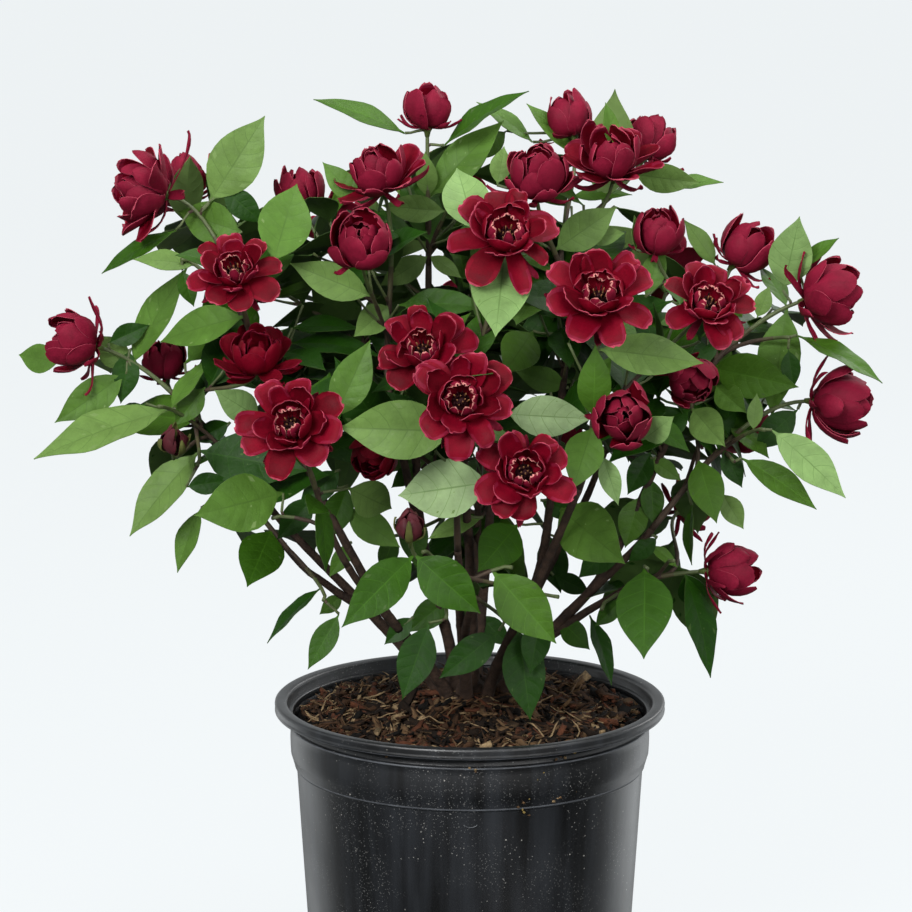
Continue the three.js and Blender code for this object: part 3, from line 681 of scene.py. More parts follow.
def crowded(leaf, middles):
    """Whether a leaf's middle comes too near another's. Where it doesn't, it joins them."""
    middle = leaf_middle(leaf)
    if len(middles) and (np.linalg.norm(np.array(middles) - middle, axis=1) < LEAF_SPACING).any():
        return True
    middles.append(middle)
    return False


def shown_spots(plans):
    """Spots along the shown leaves: their pixels, depth and the radius that each covers."""
    spots = []
    for leaf in leaves_on(plans):
        if "shown" not in leaf:
            continue
        for share in SHOWN_SHARES:
            spot = leaf["node"] + leaf["axis"] * leaf["length"] * share
            depth = depth_of(spot)
            half = leaf["half"] * leaf["length"] * FOCAL_PIXELS / depth
            radius = SPOT_SHARE * half * abs(leaf["face"].dot(FORWARD)) + SPOT_MARGIN
            spots.append([*project(spot), depth, max(SPOT_LEAST, radius)])
    return np.array(spots)


def covers_shown(leaf, spots):
    """Whether a leaf would lie before a shown one in the view from the front."""
    samples = leaf_samples(leaf)
    near = np.linalg.norm(project(samples)[:, None] - spots[None, :, :2], axis=2) < spots[None, :, 3]
    return bool((near & (depth_of(samples)[:, None] < spots[None, :, 2] + SHOWN_CLEAR)).any())


# Small leaves far in

INNER_SEED = 5
INNER_TRIES = 6000
INNER_LEAVES = 90
INNER_SHARE = 0.8
INNER_CLEAR = 12
INNER_LENGTHS = (36, 64)
INNER_WIDTH = 0.5
INNER_BEARING = (90, 50)
INNER_AWAY = (30, -70)


def fill_thin_places(plans, sight, reach):
    """Small leaves far in, on fine twigs, where the front view would show sky through the crown."""
    rng = np.random.default_rng(INNER_SEED)
    dots = np.vstack([project(leaf_samples(leaf)) for leaf in leaves_on(plans)])
    discs = bloom_discs(plans)
    made = 0
    for _ in range(INNER_TRIES):
        turn = rng.uniform(0, 2 * math.pi)
        far = math.sqrt(rng.random()) * INNER_SHARE * crown_limit(math.degrees(turn), reach)
        middle = vec(*CROWN_MIDDLE) + far * vec(math.cos(turn), math.sin(turn))
        down = math.radians(rng.normal(*INNER_BEARING))
        long = rng.uniform(*INNER_LENGTHS)
        line = middle + np.outer((-0.5, 0, 0.5), vec(math.cos(down), math.sin(down))) * long
        if in_sky(line, reach) or np.linalg.norm(dots - middle, axis=1).min() < INNER_CLEAR:
            continue
        if (np.linalg.norm(discs[:, :2] - middle, axis=1) < discs[:, 2]).any():
            continue
        row = (*line[0], *line[2], long * INNER_WIDTH)
        hung = twig_to(plans, row, INNER_AWAY[made % 2])
        if hung is None:
            continue
        plan, leaf = hung
        aim(leaf, row, sight)
        leaf["inner"] = True
        plan["leaves"].append(leaf)
        dots = np.vstack([dots, project(leaf_samples(leaf)), line])
        made += 1
        if made == INNER_LEAVES:
            break


# Finer twigs in the crown

SIDE_CHANCE = 1
SIDE_TWIG_RADII = (1.15, 0.75)
SIDE_LOW = 430
SIDE_HIGH = 606
SIDE_LENGTHS = (20, 40)
SIDE_LEAF = (0.52, 0.8)
SIDE_WANDER = 0.08
SIDE_PAIRS_APART = 0.45
SIDE_RISE = (30, 8)
SIDE_BEARING = 12
LIMB_TWIG_SHARES = np.linspace(0.35, 0.98, 16)
LIMB_TWIG_LENGTHS = (26, 74)
LIMB_TWIG_LOW = 420
LIMB_TWIG_LEAF = (44, 72)


def side_twig(start, way, length, leaf_size, pairs, rng, out):
    """A short leafy twig: its curve and the leaves in pairs along it."""
    way = unit(way)
    end = start + way * length + vec(*rng.normal(0, SIDE_WANDER * length, 3))
    curve = Curve(start, way, end, unit(way + 0.3 * UP))
    first = rng.uniform(0, 360)
    leaves = []
    for pair in range(pairs):
        share = 1 - SIDE_PAIRS_APART * pair
        for side in range(2):
            leaves.append({
                "node": curve.at(share), "direction": curve.tangent(share),
                "bearing": first + 90 * pair + 180 * side + rng.normal(0, SIDE_BEARING),
                "rise": math.radians(SIDE_RISE[0] + rng.normal(0, SIDE_RISE[1])),
                "length": leaf_size * rng.uniform(0.85, 1.1), "out": out,
            })
    return {"curve": curve, "radii": SIDE_TWIG_RADII, "leaves": leaves}


def side_twigs(plan, rng):
    """A spray's finer twigs: from where its leaves stand, and all round its limb."""
    twigs = []
    for shoot in plan["shoots"]:
        for leaf in shoot["all_leaves"]:
            if leaf["pair"] == 0 or leaf["node"][2] < SIDE_LOW or rng.random() > SIDE_CHANCE:
                continue
            axis = leaf_pose(leaf, leaf["bearing"])[0]
            way = 0.75 * axis + 0.55 * leaf["direction"] + 0.2 * UP
            size = shoot["leaf"] * rng.uniform(*SIDE_LEAF)
            twigs.append(side_twig(leaf["node"], way, rng.uniform(*SIDE_LENGTHS), size, 1, rng, leaf["out"]))
    curve = plan["curve"]
    out = -1 if plan["middle"][1] < TURN_AT else 1
    for share in LIMB_TWIG_SHARES:
        start = curve.at(share)
        if start[2] < LIMB_TWIG_LOW:
            continue
        tangent = curve.tangent(share)
        spoke = round_from(*square_to(tangent), rng.uniform(0, 2 * math.pi))
        way = spoke + 0.6 * tangent + 0.2 * UP
        length = rng.uniform(*LIMB_TWIG_LENGTHS)
        twigs.append(side_twig(start, way, length, rng.uniform(*LIMB_TWIG_LEAF), 2, rng, out))
    return twigs


GROWTH_SEED = 7


def grow_plant():
    plans = plan_sprays()
    for plan in plans.values():
        plan_limb(plan, plans)
    for plan in plans.values():
        plan_shoots(plan)
    sight = lines_of_sight(plans)
    rng = np.random.default_rng(GROWTH_SEED)
    for plan in plans.values():
        plan["leaves"], plan["twigs"] = [], []
        for index, shoot in enumerate(plan["shoots"]):
            shoot["all_leaves"] = leaves_of(shoot, 10 * plan["order"] + index)
            plan["leaves"] += pose_leaves(shoot["all_leaves"], sight)
    match_shown(plans, sight)
    spots, reach, middles = shown_spots(plans), crown_reach(plans), []

    def stays(leaf):
        if covers_shown(leaf, spots) or in_sky(project(leaf_samples(leaf)), reach):
            return False
        return not crowded(leaf, middles)

    for plan in plans.values():
        middles += [leaf_middle(leaf) for leaf in plan["leaves"] if "shown" in leaf]
        plan["leaves"] = [leaf for leaf in plan["leaves"] if "shown" in leaf or stays(leaf)]
        for twig in side_twigs(plan, rng):
            if twig["curve"].corners[3][2] > SIDE_HIGH:
                continue
            leaves = [leaf for leaf in pose_leaves(twig["leaves"], sight) if stays(leaf)]
            if leaves:
                plan["twigs"].append(twig)
                plan["leaves"] += leaves
    fill_thin_places(plans, sight, reach)
    return plans


# Meshes from arrays. Every face has four corners.

TUBE_CLOSE = 0.02


class Pile:
    """Points and faces that become one piece."""

    def __init__(self):
        self.points, self.faces, self.kinds, self.rims = [], [], [], []
        self.count = 0

    def add(self, points, faces, kinds, rim=None):
        points = points.reshape(-1, 3)
        self.points.append(points)
        self.faces.append(faces.reshape(-1, 4) + self.count)
        self.kinds.append(np.broadcast_to(np.asarray(kinds), len(self.faces[-1])))
        self.rims.append(np.zeros(len(points), bool) if rim is None else rim)
        self.count += len(points)

    def make(self, name, slot, materials, nodes):
        points = np.concatenate(self.points) * MM
        faces = np.concatenate(self.faces)
        mesh = bpy.data.meshes.new(name)
        mesh.vertices.add(len(points))
        mesh.vertices.foreach_set("co", points.astype(np.float32).ravel())
        mesh.loops.add(faces.size)
        mesh.loops.foreach_set("vertex_index", faces.astype(np.int32).ravel())
        mesh.polygons.add(len(faces))
        mesh.polygons.foreach_set("loop_start", np.arange(0, faces.size, 4, dtype=np.int32))
        mesh.polygons.foreach_set("material_index", np.concatenate(self.kinds).astype(np.int32))
        mesh.polygons.foreach_set("use_smooth", np.ones(len(faces), bool))
        mesh.update(calc_edges=True)
        rims = np.concatenate(self.rims)
        if rims.any():
            ends = np.empty(2 * len(mesh.edges), np.int32)
            mesh.edges.foreach_get("vertices", ends)
            sharp = mesh.attributes.new("sharp_edge", "BOOLEAN", "EDGE")
            sharp.data.foreach_set("value", rims[ends.reshape(-1, 2)].all(axis=1))
        for material in materials:
            mesh.materials.append(material)
        piece = bpy.data.objects.new(name, mesh)
        bpy.context.scene.collection.objects.link(piece)
        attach(piece, "root")
        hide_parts(*nodes)
        return piece


def shell(rows, columns):
    """Faces of a thin body: its upper side, its under side with the strip round its rim, and its rim."""
    top = np.arange(rows * columns).reshape(rows, columns)
    under = top + rows * columns

    def quads(grid):
        return np.stack([grid[:-1, :-1], grid[1:, :-1], grid[1:, 1:], grid[:-1, 1:]], axis=-1).reshape(-1, 4)

    loop = np.concatenate([top[0], top[1:, -1], top[-1, -2::-1], top[-2:0:-1, 0]])
    following = np.roll(loop, -1)
    strip = np.stack([loop, following, following + rows * columns, loop + rows * columns], axis=-1)
    rim = np.zeros(2 * rows * columns, bool)
    rim[loop] = rim[loop + rows * columns] = True
    return quads(top)[:, ::-1], np.concatenate([quads(under), strip]), rim


def both_sides(top, under):
    return np.concatenate([top.reshape(-1, 3), under.reshape(-1, 3)])


def ring_faces(rows, sides):
    """Faces between rings of points, each ring closed."""
    grid = np.arange(rows * sides).reshape(rows, sides)
    wrapped = np.concatenate([grid, grid[:, :1]], axis=1)
    faces = np.stack([wrapped[:-1, :-1], wrapped[:-1, 1:], wrapped[1:, 1:], wrapped[1:, :-1]], axis=-1)
    return faces.reshape(-1, 4)


def tube(points, radii, sides, relief=None, flat=1.0):
    """A round limb through a line of points, closed at both ends."""
    points = np.asarray(points)
    ways = unit(np.gradient(points, axis=0))
    right, _ = square_to(ways[0])
    rings = []
    angles = 2 * math.pi * np.arange(sides) / sides
    for i, way in enumerate(ways):
        right = unit(right - way * right.dot(way))
        above = np.cross(way, right)
        radius = radii[i] if relief is None else radii[i] + relief[i]
        spoke = np.outer(np.cos(angles), right) + flat * np.outer(np.sin(angles), above)
        rings.append(points[i] + spoke * np.broadcast_to(radius, sides)[:, None])
    for end, ring in ((0, rings[0]), (-1, rings[-1])):
        rings.insert(0 if end == 0 else len(rings), points[end] + (ring - points[end]) * TUBE_CLOSE)
    return np.array(rings).reshape(-1, 3), ring_faces(len(rings), sides)


def lathe(profile, sides):
    """A turned form from [radius, height] points, with its faces looking out where the profile climbs."""
    profile = np.asarray(profile, dtype=float)
    angles = 2 * math.pi * np.arange(sides) / sides
    ring = np.stack([np.cos(angles), np.sin(angles)], axis=-1)
    points = np.concatenate([
        profile[:, None, :1] * ring[None], np.broadcast_to(profile[:, None, 1:], (len(profile), sides, 1)),
    ], axis=-1)
    return points, ring_faces(len(profile), sides)


# Materials

LIGHT = 0.6


def colour(r, g, b, dim=1.0):
    """A colour as it is seen, as the bare surface's own under this scene's light."""
    channels = [((c / 255 + 0.055) / 1.055) ** 2.4 if c > 10 else c / 255 / 12.92 for c in (r, g, b)]
    return (*(c * LIGHT * dim for c in channels), 1.0)


def blended(nodes, links, value, low, high):
    """From one colour to another by a value; the first is a colour or comes out of a node."""
    mix = nodes.new("ShaderNodeMix")
    mix.data_type = "RGBA"
    links.new(value, mix.inputs["Factor"])
    if isinstance(low, tuple):
        mix.inputs[6].default_value = low
    else:
        links.new(low, mix.inputs[6])
    mix.inputs[7].default_value = high
    return mix.outputs[2]


def noise(nodes, links, place, scale, detail=3.0, roughness=0.55):
    texture = nodes.new("ShaderNodeTexNoise")
    texture.inputs["Scale"].default_value = scale
    texture.inputs["Detail"].default_value = detail
    texture.inputs["Roughness"].default_value = roughness
    links.new(place, texture.inputs["Vector"])
    return texture.outputs["Fac"]


def ranged(nodes, links, value, from_low, from_high, to_low, to_high):
    spread = nodes.new("ShaderNodeMapRange")
    ends = {"From Min": from_low, "From Max": from_high, "To Min": to_low, "To Max": to_high}
    for socket, number in ends.items():
        spread.inputs[socket].default_value = number
    links.new(value, spread.inputs["Value"])
    return spread.outputs["Result"]


def finish(
    name, rgb, rough, mottle, mottle_scale, grain, grain_scale, specular=0.5, depth=0.0006, detail=3.0,
):
    """A material with mottled colour, uneven gloss and a fine grain."""
    material = bpy.data.materials.new(name)
    material.use_nodes = True
    nodes, links = material.node_tree.nodes, material.node_tree.links
    shader = nodes["Principled BSDF"]
    place = nodes.new("ShaderNodeTexCoord").outputs["Object"]
    broad = noise(nodes, links, place, mottle_scale, detail, 0.55 if detail < 5 else 0.68)
    spread = ranged(nodes, links, broad, 0.3, 0.7, 0, 1)
    low, high = colour(*rgb, dim=1 - mottle), colour(*rgb, dim=1 + mottle)
    links.new(blended(nodes, links, spread, low, high), shader.inputs["Base Color"])
    links.new(ranged(nodes, links, broad, 0.3, 0.7, rough - 0.06, rough + 0.06), shader.inputs["Roughness"])
    bump = nodes.new("ShaderNodeBump")
    bump.inputs["Strength"].default_value = grain
    bump.inputs["Distance"].default_value = depth
    links.new(noise(nodes, links, place, grain_scale), bump.inputs["Height"])
    links.new(bump.outputs["Normal"], shader.inputs["Normal"])
    shader.inputs["Specular IOR Level"].default_value = specular
    return material


# Leaves

LEAF_OUTLINE = np.array([
    [0, 0.03], [0.045, 0.035], [0.075, 0.12], [0.11, 0.29], [0.16, 0.5], [0.23, 0.72], [0.31, 0.89],
    [0.39, 0.98], [0.47, 1], [0.55, 0.97], [0.63, 0.88], [0.71, 0.73], [0.79, 0.53], [0.86, 0.33],
    [0.91, 0.19], [0.95, 0.09], [0.98, 0.04], [1, 0.01],
])
VEINS = 6
VEIN_HALF = 0.0032
VEIN_SWEEP = 0.17
LEAF_PUFF = 0.016
LEAF_GROOVE = 0.004
LEAF_ARCH = 0.02
LEAF_WAVE = 0.014
LEAF_WAVES = 14
LEAF_THICK = 0.45
STALK_THICK = 0.5
LEAF_COLUMNS = np.array([-1, -0.66, -0.3, -0.03, 0.03, 0.3, 0.66, 1])


def leaf_rows():
    """Rows along a leaf, and what each is: 0 a vein, 1 the blade between two."""
    veins = 0.13 + 0.72 * np.arange(VEINS) / (VEINS - 1)
    rows, crest = [0, 0.045, 0.075], [0, 0, 0]
    for k, vein in enumerate(veins):
        rows += [vein - VEIN_HALF, vein + VEIN_HALF]
        crest += [0, 0]
        following = veins[k + 1] if k + 1 < VEINS else 1
        rows.append((vein + following) / 2)
        crest.append(1)
    return np.array(rows + [0.965, 1]), np.array(crest + [0.3, 0])


LEAF_ROWS, LEAF_CREST = leaf_rows()
# Greens of a leaf's blade, from deep to pale, and of its veins
TINTS = [
    (34, 75, 8), (53, 93, 16), (73, 112, 30), (90, 129, 48), (112, 145, 72), (133, 167, 99), (162, 189, 134),
]
VEIN_TINTS = [
    (46, 88, 16), (64, 108, 22), (82, 126, 36), (83, 119, 44), (100, 131, 64), (114, 147, 82),
    (132, 162, 102),
]


def vein_faces():
    """Whether each face of a leaf's upper side is on a vein, the rib or the stalk."""
    steps = np.diff(LEAF_ROWS)
    vein_row = steps < 3 * VEIN_HALF
    rib_column = np.diff(LEAF_COLUMNS) < 0.1
    rib = np.broadcast_to(rib_column[None], (len(steps), len(rib_column)))
    stalk = np.broadcast_to((LEAF_ROWS[1:] < 0.08)[:, None], rib.shape)
    return (vein_row[:, None] | rib | stalk).ravel()


def add_leaves(pile, leaves, rng):
    rows, columns = len(LEAF_ROWS), len(LEAF_COLUMNS)
    top_faces, under_faces, rim = shell(rows, columns)
    is_vein = vein_faces()
    w = LEAF_COLUMNS[None, :]
    t = LEAF_ROWS[:, None]
    s = t + VEIN_SWEEP * np.abs(w) ** 1.3 * np.sin(math.pi * t)
    outline = np.interp(s, LEAF_OUTLINE[:, 0], LEAF_OUTLINE[:, 1])
    blade = np.clip((s - 0.07) / 0.1, 0, 1)
    crest = LEAF_CREST[:, None] * (1 - np.abs(w) ** 4) * (np.abs(w) > 0.1)
    groove = (1 - LEAF_CREST[:, None]) * blade
    for leaf in leaves:
        length = leaf["length"]
        half = length * leaf.get("half", LEAF_HALF_WIDTH * rng.uniform(0.84, 1.0))
        calm = 0.4 if "shown" in leaf else 1
        sag = LEAF_SAG * length * rng.uniform(0.5, 1.5) * calm
        fold = LEAF_FOLD * half * rng.uniform(0.5, 2.2)
        wave = LEAF_WAVE * length * rng.uniform(0.3, 1.2)
        phase = rng.uniform(0, 2 * math.pi)
        lean = rng.normal(0, 0.035) * length * calm
        twist = rng.normal(0, 0.25) * calm
        x = s * length
        y = w * half * outline
        z = fold * np.abs(w) * outline - sag * np.clip((s - 0.3) / 0.7, 0, None) ** 1.7
        z = z + LEAF_PUFF * length * crest * outline - LEAF_GROOVE * length * groove * (1 - np.abs(w))
        z = z + wave * np.sin(LEAF_WAVES * s + phase + 2 * w) * w**2 * outline
        z = z + LEAF_ARCH * length * np.sin(math.pi * s)
        turned = twist * np.clip(s - 0.1, 0, None)
        y, z = y * np.cos(turned) - z * np.sin(turned) * 0.3, z + y * np.sin(turned)
        y = y + lean * s**2
        side = np.cross(leaf["axis"], leaf["face"])
        top = leaf["node"] + x[..., None] * leaf["axis"] + y[..., None] * side + z[..., None] * leaf["face"]
        thick = LEAF_THICK + STALK_THICK * (1 - np.clip(s / 0.12, 0, 1))
        under = top - thick[..., None] * leaf["face"]
        tint = leaf["tint"]
        # The under side is deep or pale as the top's tint is, so it carries the same painted light and shade
        under_kind = 2 * len(TINTS) + (tint > DEEP_UNDER)
        kinds = np.concatenate([2 * tint + is_vein, np.full(len(under_faces), under_kind)])
        pile.add(both_sides(top, under), np.concatenate([top_faces, under_faces]), kinds, rim)


# Each spray has its own green, from 0, deep, to 6, pale, which is partly painted light and shade
SPRAY_TINTS = {
    "left_low": 3.2, "left_lowest": 2.8, "left_front": 3.0, "left_top": 2.8, "top_left": 2.8, "top": 2.6,
    "front_centre": 3.5, "front_low": 1.6, "front_high": 3.7, "right_front": 3.1, "top_right": 2.6,
    "right_low": 3.0, "right_high": 2.8, "right_lowest": 2.4,
}
# Height below which the leaves that stand out get deeper greens: painted shade
PAINTED_SHADE_BELOW = 430
DEEP_UNDER = 2
CROWN_CENTRE = vec(0, 0, 450)
CROWN_HALF = vec(270, 220, 220)


def tint_of(leaf, spray, rng):
    """Greens with painted light and shade: for the leaves that stand out, the spray's green, paler as the
    face turns to the front view and deeper low down; deep greens for the small leaves far in; for the
    others, paler outside and near the top and deeper in the front half.
    """
    middle = leaf_middle(leaf)
    if "inner" in leaf:
        # Painted shade: deep greens for the small leaves far in
        light = rng.normal(0.5, 1)
    elif "shown" in leaf:
        # Painted light and shade: paler as the face turns to the front view, deeper for leaves low down
        light = SPRAY_TINTS.get(spray, 3) - 2.4 * (leaf["face"].dot(FORWARD) + 0.6) + rng.normal(0, 0.8)
        light -= max(0, PAINTED_SHADE_BELOW - middle[2]) / 45
    else:
        # Painted light and shade: paler towards the crown's outside and top, deeper in its front half behind
        # the leaves that stand out
        away = (middle - CROWN_CENTRE) / CROWN_HALF
        light = 5.2 * (np.linalg.norm(away) - 0.45) + 1.6 * away[2] + rng.normal(0, 1.3)
        light -= 1.4 * (leaf["node"][1] < FRONT_HALF)
    return int(np.clip(round(light), 0, len(TINTS) - 1))


def leaf_materials():
    """A blade and a vein of each tint, then the undersides."""
    made = []
    for k, (blade, vein) in enumerate(zip(TINTS, VEIN_TINTS)):
        made += [
            finish(f"leaf_blade_{k}", blade, 0.5, 0.2, 70, 0.5, 260, specular=0.14, depth=0.0009, detail=9),
            finish(f"leaf_vein_{k}", vein, 0.55, 0.08, 80, 0.1, 700, specular=0.14),
        ]
    for name, rgb in (("leaf_under_deep", (74, 104, 46)), ("leaf_under_pale", (122, 152, 84))):
        made.append(finish(name, rgb, 0.65, 0.1, 60, 0.2, 600, specular=0.2))
    return made


# Twigs and limbs

TWIG_SIDES = 8
TWIG_STEP = 7
NODE_SWELL = 0.25
WOOD_CHANGE = 0.15
SHOOT_WOODY = 0.6
TWIG_WOODY = 0.2


def add_twig(pile, curve, wide, narrow, woody):
    """A twig with a swelling at each pair, brown at its foot and green towards its tip."""
    length = curve.length()
    t = np.linspace(0, 1, max(5, int(length / TWIG_STEP)))
    node = np.maximum(0, np.cos(2 * math.pi * length * (1 - t) / INTERNODE)) ** 6
    radii = wide + (narrow - wide) * t + NODE_SWELL * node
    points, faces = tube(curve.at(t), radii, TWIG_SIDES)
    share = np.concatenate([[0], t])
    kinds = np.where(share < woody - WOOD_CHANGE, 0, np.where(share < woody, 1, 2))
    pile.add(points, faces, np.repeat(kinds, TWIG_SIDES))


def bark_relief(along, sides, size, rng):
    """Ridges that wind a little round a limb, cracks and knots."""
    angles = 2 * math.pi * np.arange(sides)[None] / sides
    a, b, c = rng.uniform(0, 6, 3)
    along = along[:, None]
    relief = 0.3 * np.sin(4 * angles + 0.06 * along + a) * np.sin(0.11 * along + b)
    relief = relief + 0.22 * np.sin(7 * angles - 0.09 * along + c)
    relief = relief + 0.12 * rng.normal(0, 1, (len(along), sides))
    knots = np.maximum(0, np.cos(2 * math.pi * (along + 9 * a) / 41)) ** 14
    return size * (relief + 0.7 * knots)


LIMB_THINNING = 0.84
LIMB_SIDES = 16
LIMB_STEP = 3.5
LIMB_WANDER = 0.9
BELOW_FOOT = (-12, -6)
FOOT_FLARE = 0.45
FLARE_FADE = 11


def add_limb(pile, plan, rng):
    """A stem or bough that wanders a little. A stem flares at its foot and goes on into the soil."""
    bough = "from" in plan
    curve = plan["curve"]
    length = curve.length()
    t = np.linspace(0, 1, max(24, int(length / LIMB_STEP)))
    line = curve.at(t)
    right, above = square_to(unit(line[-1] - line[0]))
    window = (np.sin(math.pi * t) ** 0.7)[:, None]
    a, b = rng.uniform(0, 6, 2)
    wander = np.outer(np.sin(5 * t + a), right) + np.outer(np.sin(6 * t + b), above)
    line = line + window * wander * LIMB_WANDER
    along = t * length
    wide = (BOUGH_RADIUS if bough else STEM_RADIUS) * LIMB_THINNING
    radii = wide + (LIMB_TIP_RADIUS * LIMB_THINNING - wide) * t
    if not bough:
        line = np.concatenate([line[0] + np.outer(BELOW_FOOT, curve.tangent(0)), line])
        along = np.concatenate([BELOW_FOOT, along])
        radii = np.concatenate([[wide, wide], radii])
        radii = radii * (1 + FOOT_FLARE * np.exp(-np.maximum(along, 0) / FLARE_FADE))
    relief = bark_relief(along, LIMB_SIDES, radii[:, None] / 7, rng)
    points, faces = tube(line, radii, LIMB_SIDES, relief)
    pile.add(points, faces, 0)


# Blooms

# Outlines of tepals: the share of the half width at shares of the length
BROAD = np.array([
    [0, 0.42], [0.2, 0.6], [0.4, 0.84], [0.6, 0.99], [0.72, 1], [0.83, 0.91], [0.91, 0.74], [0.965, 0.5],
    [1, 0.2],
])
STRAP = np.array([[0, 0.6], [0.3, 0.85], [0.6, 1], [0.82, 0.8], [0.94, 0.45], [1, 0.12]])
TEPAL_ROWS = np.array([0, 0.16, 0.32, 0.47, 0.61, 0.73, 0.83, 0.91, 0.965, 1])
TEPAL_COLUMNS = np.array([-1, -0.94, -0.72, -0.27, 0.27, 0.72, 0.94, 1])
DEEP, DARK, DUSKY, EDGE, TIP, HEART, STAMEN, STALK, SCALE, BUD = range(10)
IN_SHADE = np.array([DARK, DARK, DEEP, DUSKY, EDGE, HEART, STAMEN, STALK, SCALE, BUD])

# Looks of a whorl: outline, face, back and rim
PETAL = (BROAD, DEEP, DUSKY, EDGE)
OUTER = (STRAP, DUSKY, DUSKY, DUSKY)
INNER_BUD = (BROAD, BUD, BUD, BUD)

# Each whorl is (count, (radius, height) points of a tepal's spine, half width, cup, looks). Radius and
# height are for an open bloom 72 mm across.
WHORLS = {
    "open": [
        (4, [(3, -2), (14, -4), (25, -5), (32, -2)], 3.2, 0.8, OUTER),
        (8, [(3, 0), (15, 3.5), (27, 7.5), (36.5, 5.5)], 10.4, 2.6, PETAL),
        (6, [(3, 1), (14, 5.5), (21, 13), (25.5, 21)], 9.2, 2.6, PETAL),
        (5, [(2, 2), (11, 4), (15.4, 11), (13.4, 18)], 8.6, 1.6, (BROAD, DEEP, DEEP, EDGE)),
        (10, [(2, 2), (8.5, 5), (11, 11.5), (8, 17.8)], 3.5, 0.9, (BROAD, DEEP, DUSKY, TIP)),
    ],
    "wide": [
        (5, [(3, -2), (14, -4), (26, -3), (34, 2)], 2.9, 0.8, OUTER),
        (8, [(3, 0), (15, 3.5), (26, 10), (33.5, 15)], 8.6, 2.4, PETAL),
        (6, [(3, 1), (13, 4.5), (19.5, 14), (19, 27)], 9.4, 2.2, PETAL),
        (5, [(2, 2), (10, 5), (14, 15), (9, 29)], 8.8, 1.4, PETAL),
        (4, [(2, 2), (7, 6), (8.5, 16), (3, 27)], 6.2, 1, PETAL),
    ],
    "half": [
        (7, [(3, -1), (14, -2), (25, 1), (34, 7)], 2.9, 0.8, OUTER),
        (5, [(3, 0), (14, 3), (23, 11), (27, 23)], 8, 2.4, PETAL),
        (6, [(3, 1), (14, 5), (20, 17), (16, 32)], 10.5, 2, PETAL),
        (5, [(2, 2), (11, 6), (15.5, 18), (10, 34)], 9.6, 1.5, PETAL),
        (4, [(2, 2), (7, 6), (8.5, 18), (3, 30)], 6.2, 1, PETAL),
    ],
    "globe": [
        (4, [(3, -1), (12, -2), (18, 0), (22, 5)], 2.4, 0.8, OUTER),
        (5, [(3, 0), (13.5, 2.5), (20.5, 13), (18.5, 26)], 10.8, 2, PETAL),
        (5, [(3, 1), (12.5, 4), (17.5, 16), (12, 31)], 10.5, 1.6, PETAL),
        (5, [(2, 2), (9.5, 5.5), (13, 17), (6, 32)], 8.2, 1.1, PETAL),
        (4, [(2, 2), (7, 6), (8.5, 16), (3, 28)], 6.2, 1, (BROAD, DARK, DUSKY, EDGE)),
    ],
    "cup": [
        (6, [(2.5, -0.5), (10, -1), (18, 0), (25, 5)], 2.4, 0.7, OUTER),
        (5, [(2.5, 0), (12, 2), (18, 11), (16, 24)], 9, 2, PETAL),
        (5, [(2.5, 1), (11, 3.5), (15.5, 14), (10, 29)], 9, 1.5, PETAL),
        (4, [(2, 2), (8.5, 5), (11, 16), (4, 29)], 7.2, 1, PETAL),
    ],
    "bud": [
        (4, [(2, 0), (7, 2), (10, 9), (9.5, 18)], 2.8, 0.8, (STRAP, SCALE, SCALE, SCALE)),
        (4, [(1.5, 1), (7, 4), (8.2, 12), (3.4, 20)], 5.8, 0.8, INNER_BUD),
        (3, [(1, 1), (6, 5), (7, 12), (1.5, 21)], 5, 0.6, INNER_BUD),
    ],
}


# How much the parts of blooms differ, and the heart, the stamens and the stalk in millimetres
RADIUS_CHANCE = 0.07
LOOSE_OPEN = 0.09
LOOSE_CLOSED = 0.06
WIDTH_CHANCE = 0.14
EDGE_WAVE = 0.045
CUP_CHANCE = 0.3
TEPAL_THICK = 0.5
PLAIN_CHANCE = 0.35
BLOOM_SIZE_CHANCE = (0.94, 1.0)
TURN_CHANCE = 0.15
LIFTED = 0.22
HEART_HEIGHTS = (2, 4, 5.5, 7, 8)
HEART_RADII = (6.5, 6, 4.8, 3, 1.1)
STAMENS = 22
STAMEN_RINGS = (2.6, 4.4)
STAMEN_SHARES = (0, 0.4, 0.75, 1)
STAMEN_RADII = (0.4, 0.45, 0.6, 0.35)
STALK_HEIGHTS = (-7, -3.5, -0.5, 1.5, 3)
STALK_RADII = (1.6, 2.4, 4.2, 4.4, 2.6)
BUD_STALK = 0.7


def through(corners):
    """Corners of a cubic curve that passes through four points."""
    a, b, c, d = (np.asarray(p, dtype=float) for p in corners)
    return a, (-5 * a + 18 * b - 9 * c + 2 * d) / 6, (2 * a - 9 * b + 18 * c - 5 * d) / 6, d


def tepal_kinds(face, back, rim_kind, under_count, rng):
    """Colours of a tepal: strips beside its middle and a pale rim, which are partly the tepal's own paler
    margin and partly painted highlight, and its back.
    """
    upper = np.full((len(TEPAL_ROWS) - 1, len(TEPAL_COLUMNS) - 1), face)
    if face == DEEP:
        middle, beside = (DARK, DEEP) if rng.random() < PLAIN_CHANCE else (DEEP, DUSKY)
        upper[:] = middle
        # Lighter strips beside the middle and before the tip, leading out to the rim: partly paler margin,
        # partly painted highlight
        upper[4:, 1] = upper[4:, -2] = upper[-2] = beside
    upper[6:, 0] = upper[6:, -1] = upper[-1] = rim_kind
    lower = np.full(under_count, rim_kind)
    lower[:upper.size] = back
    if rim_kind == TIP:
        upper[-2:] = TIP
        lower[upper.size - upper.shape[1]:upper.size] = TIP
    return np.concatenate([upper.ravel(), lower])


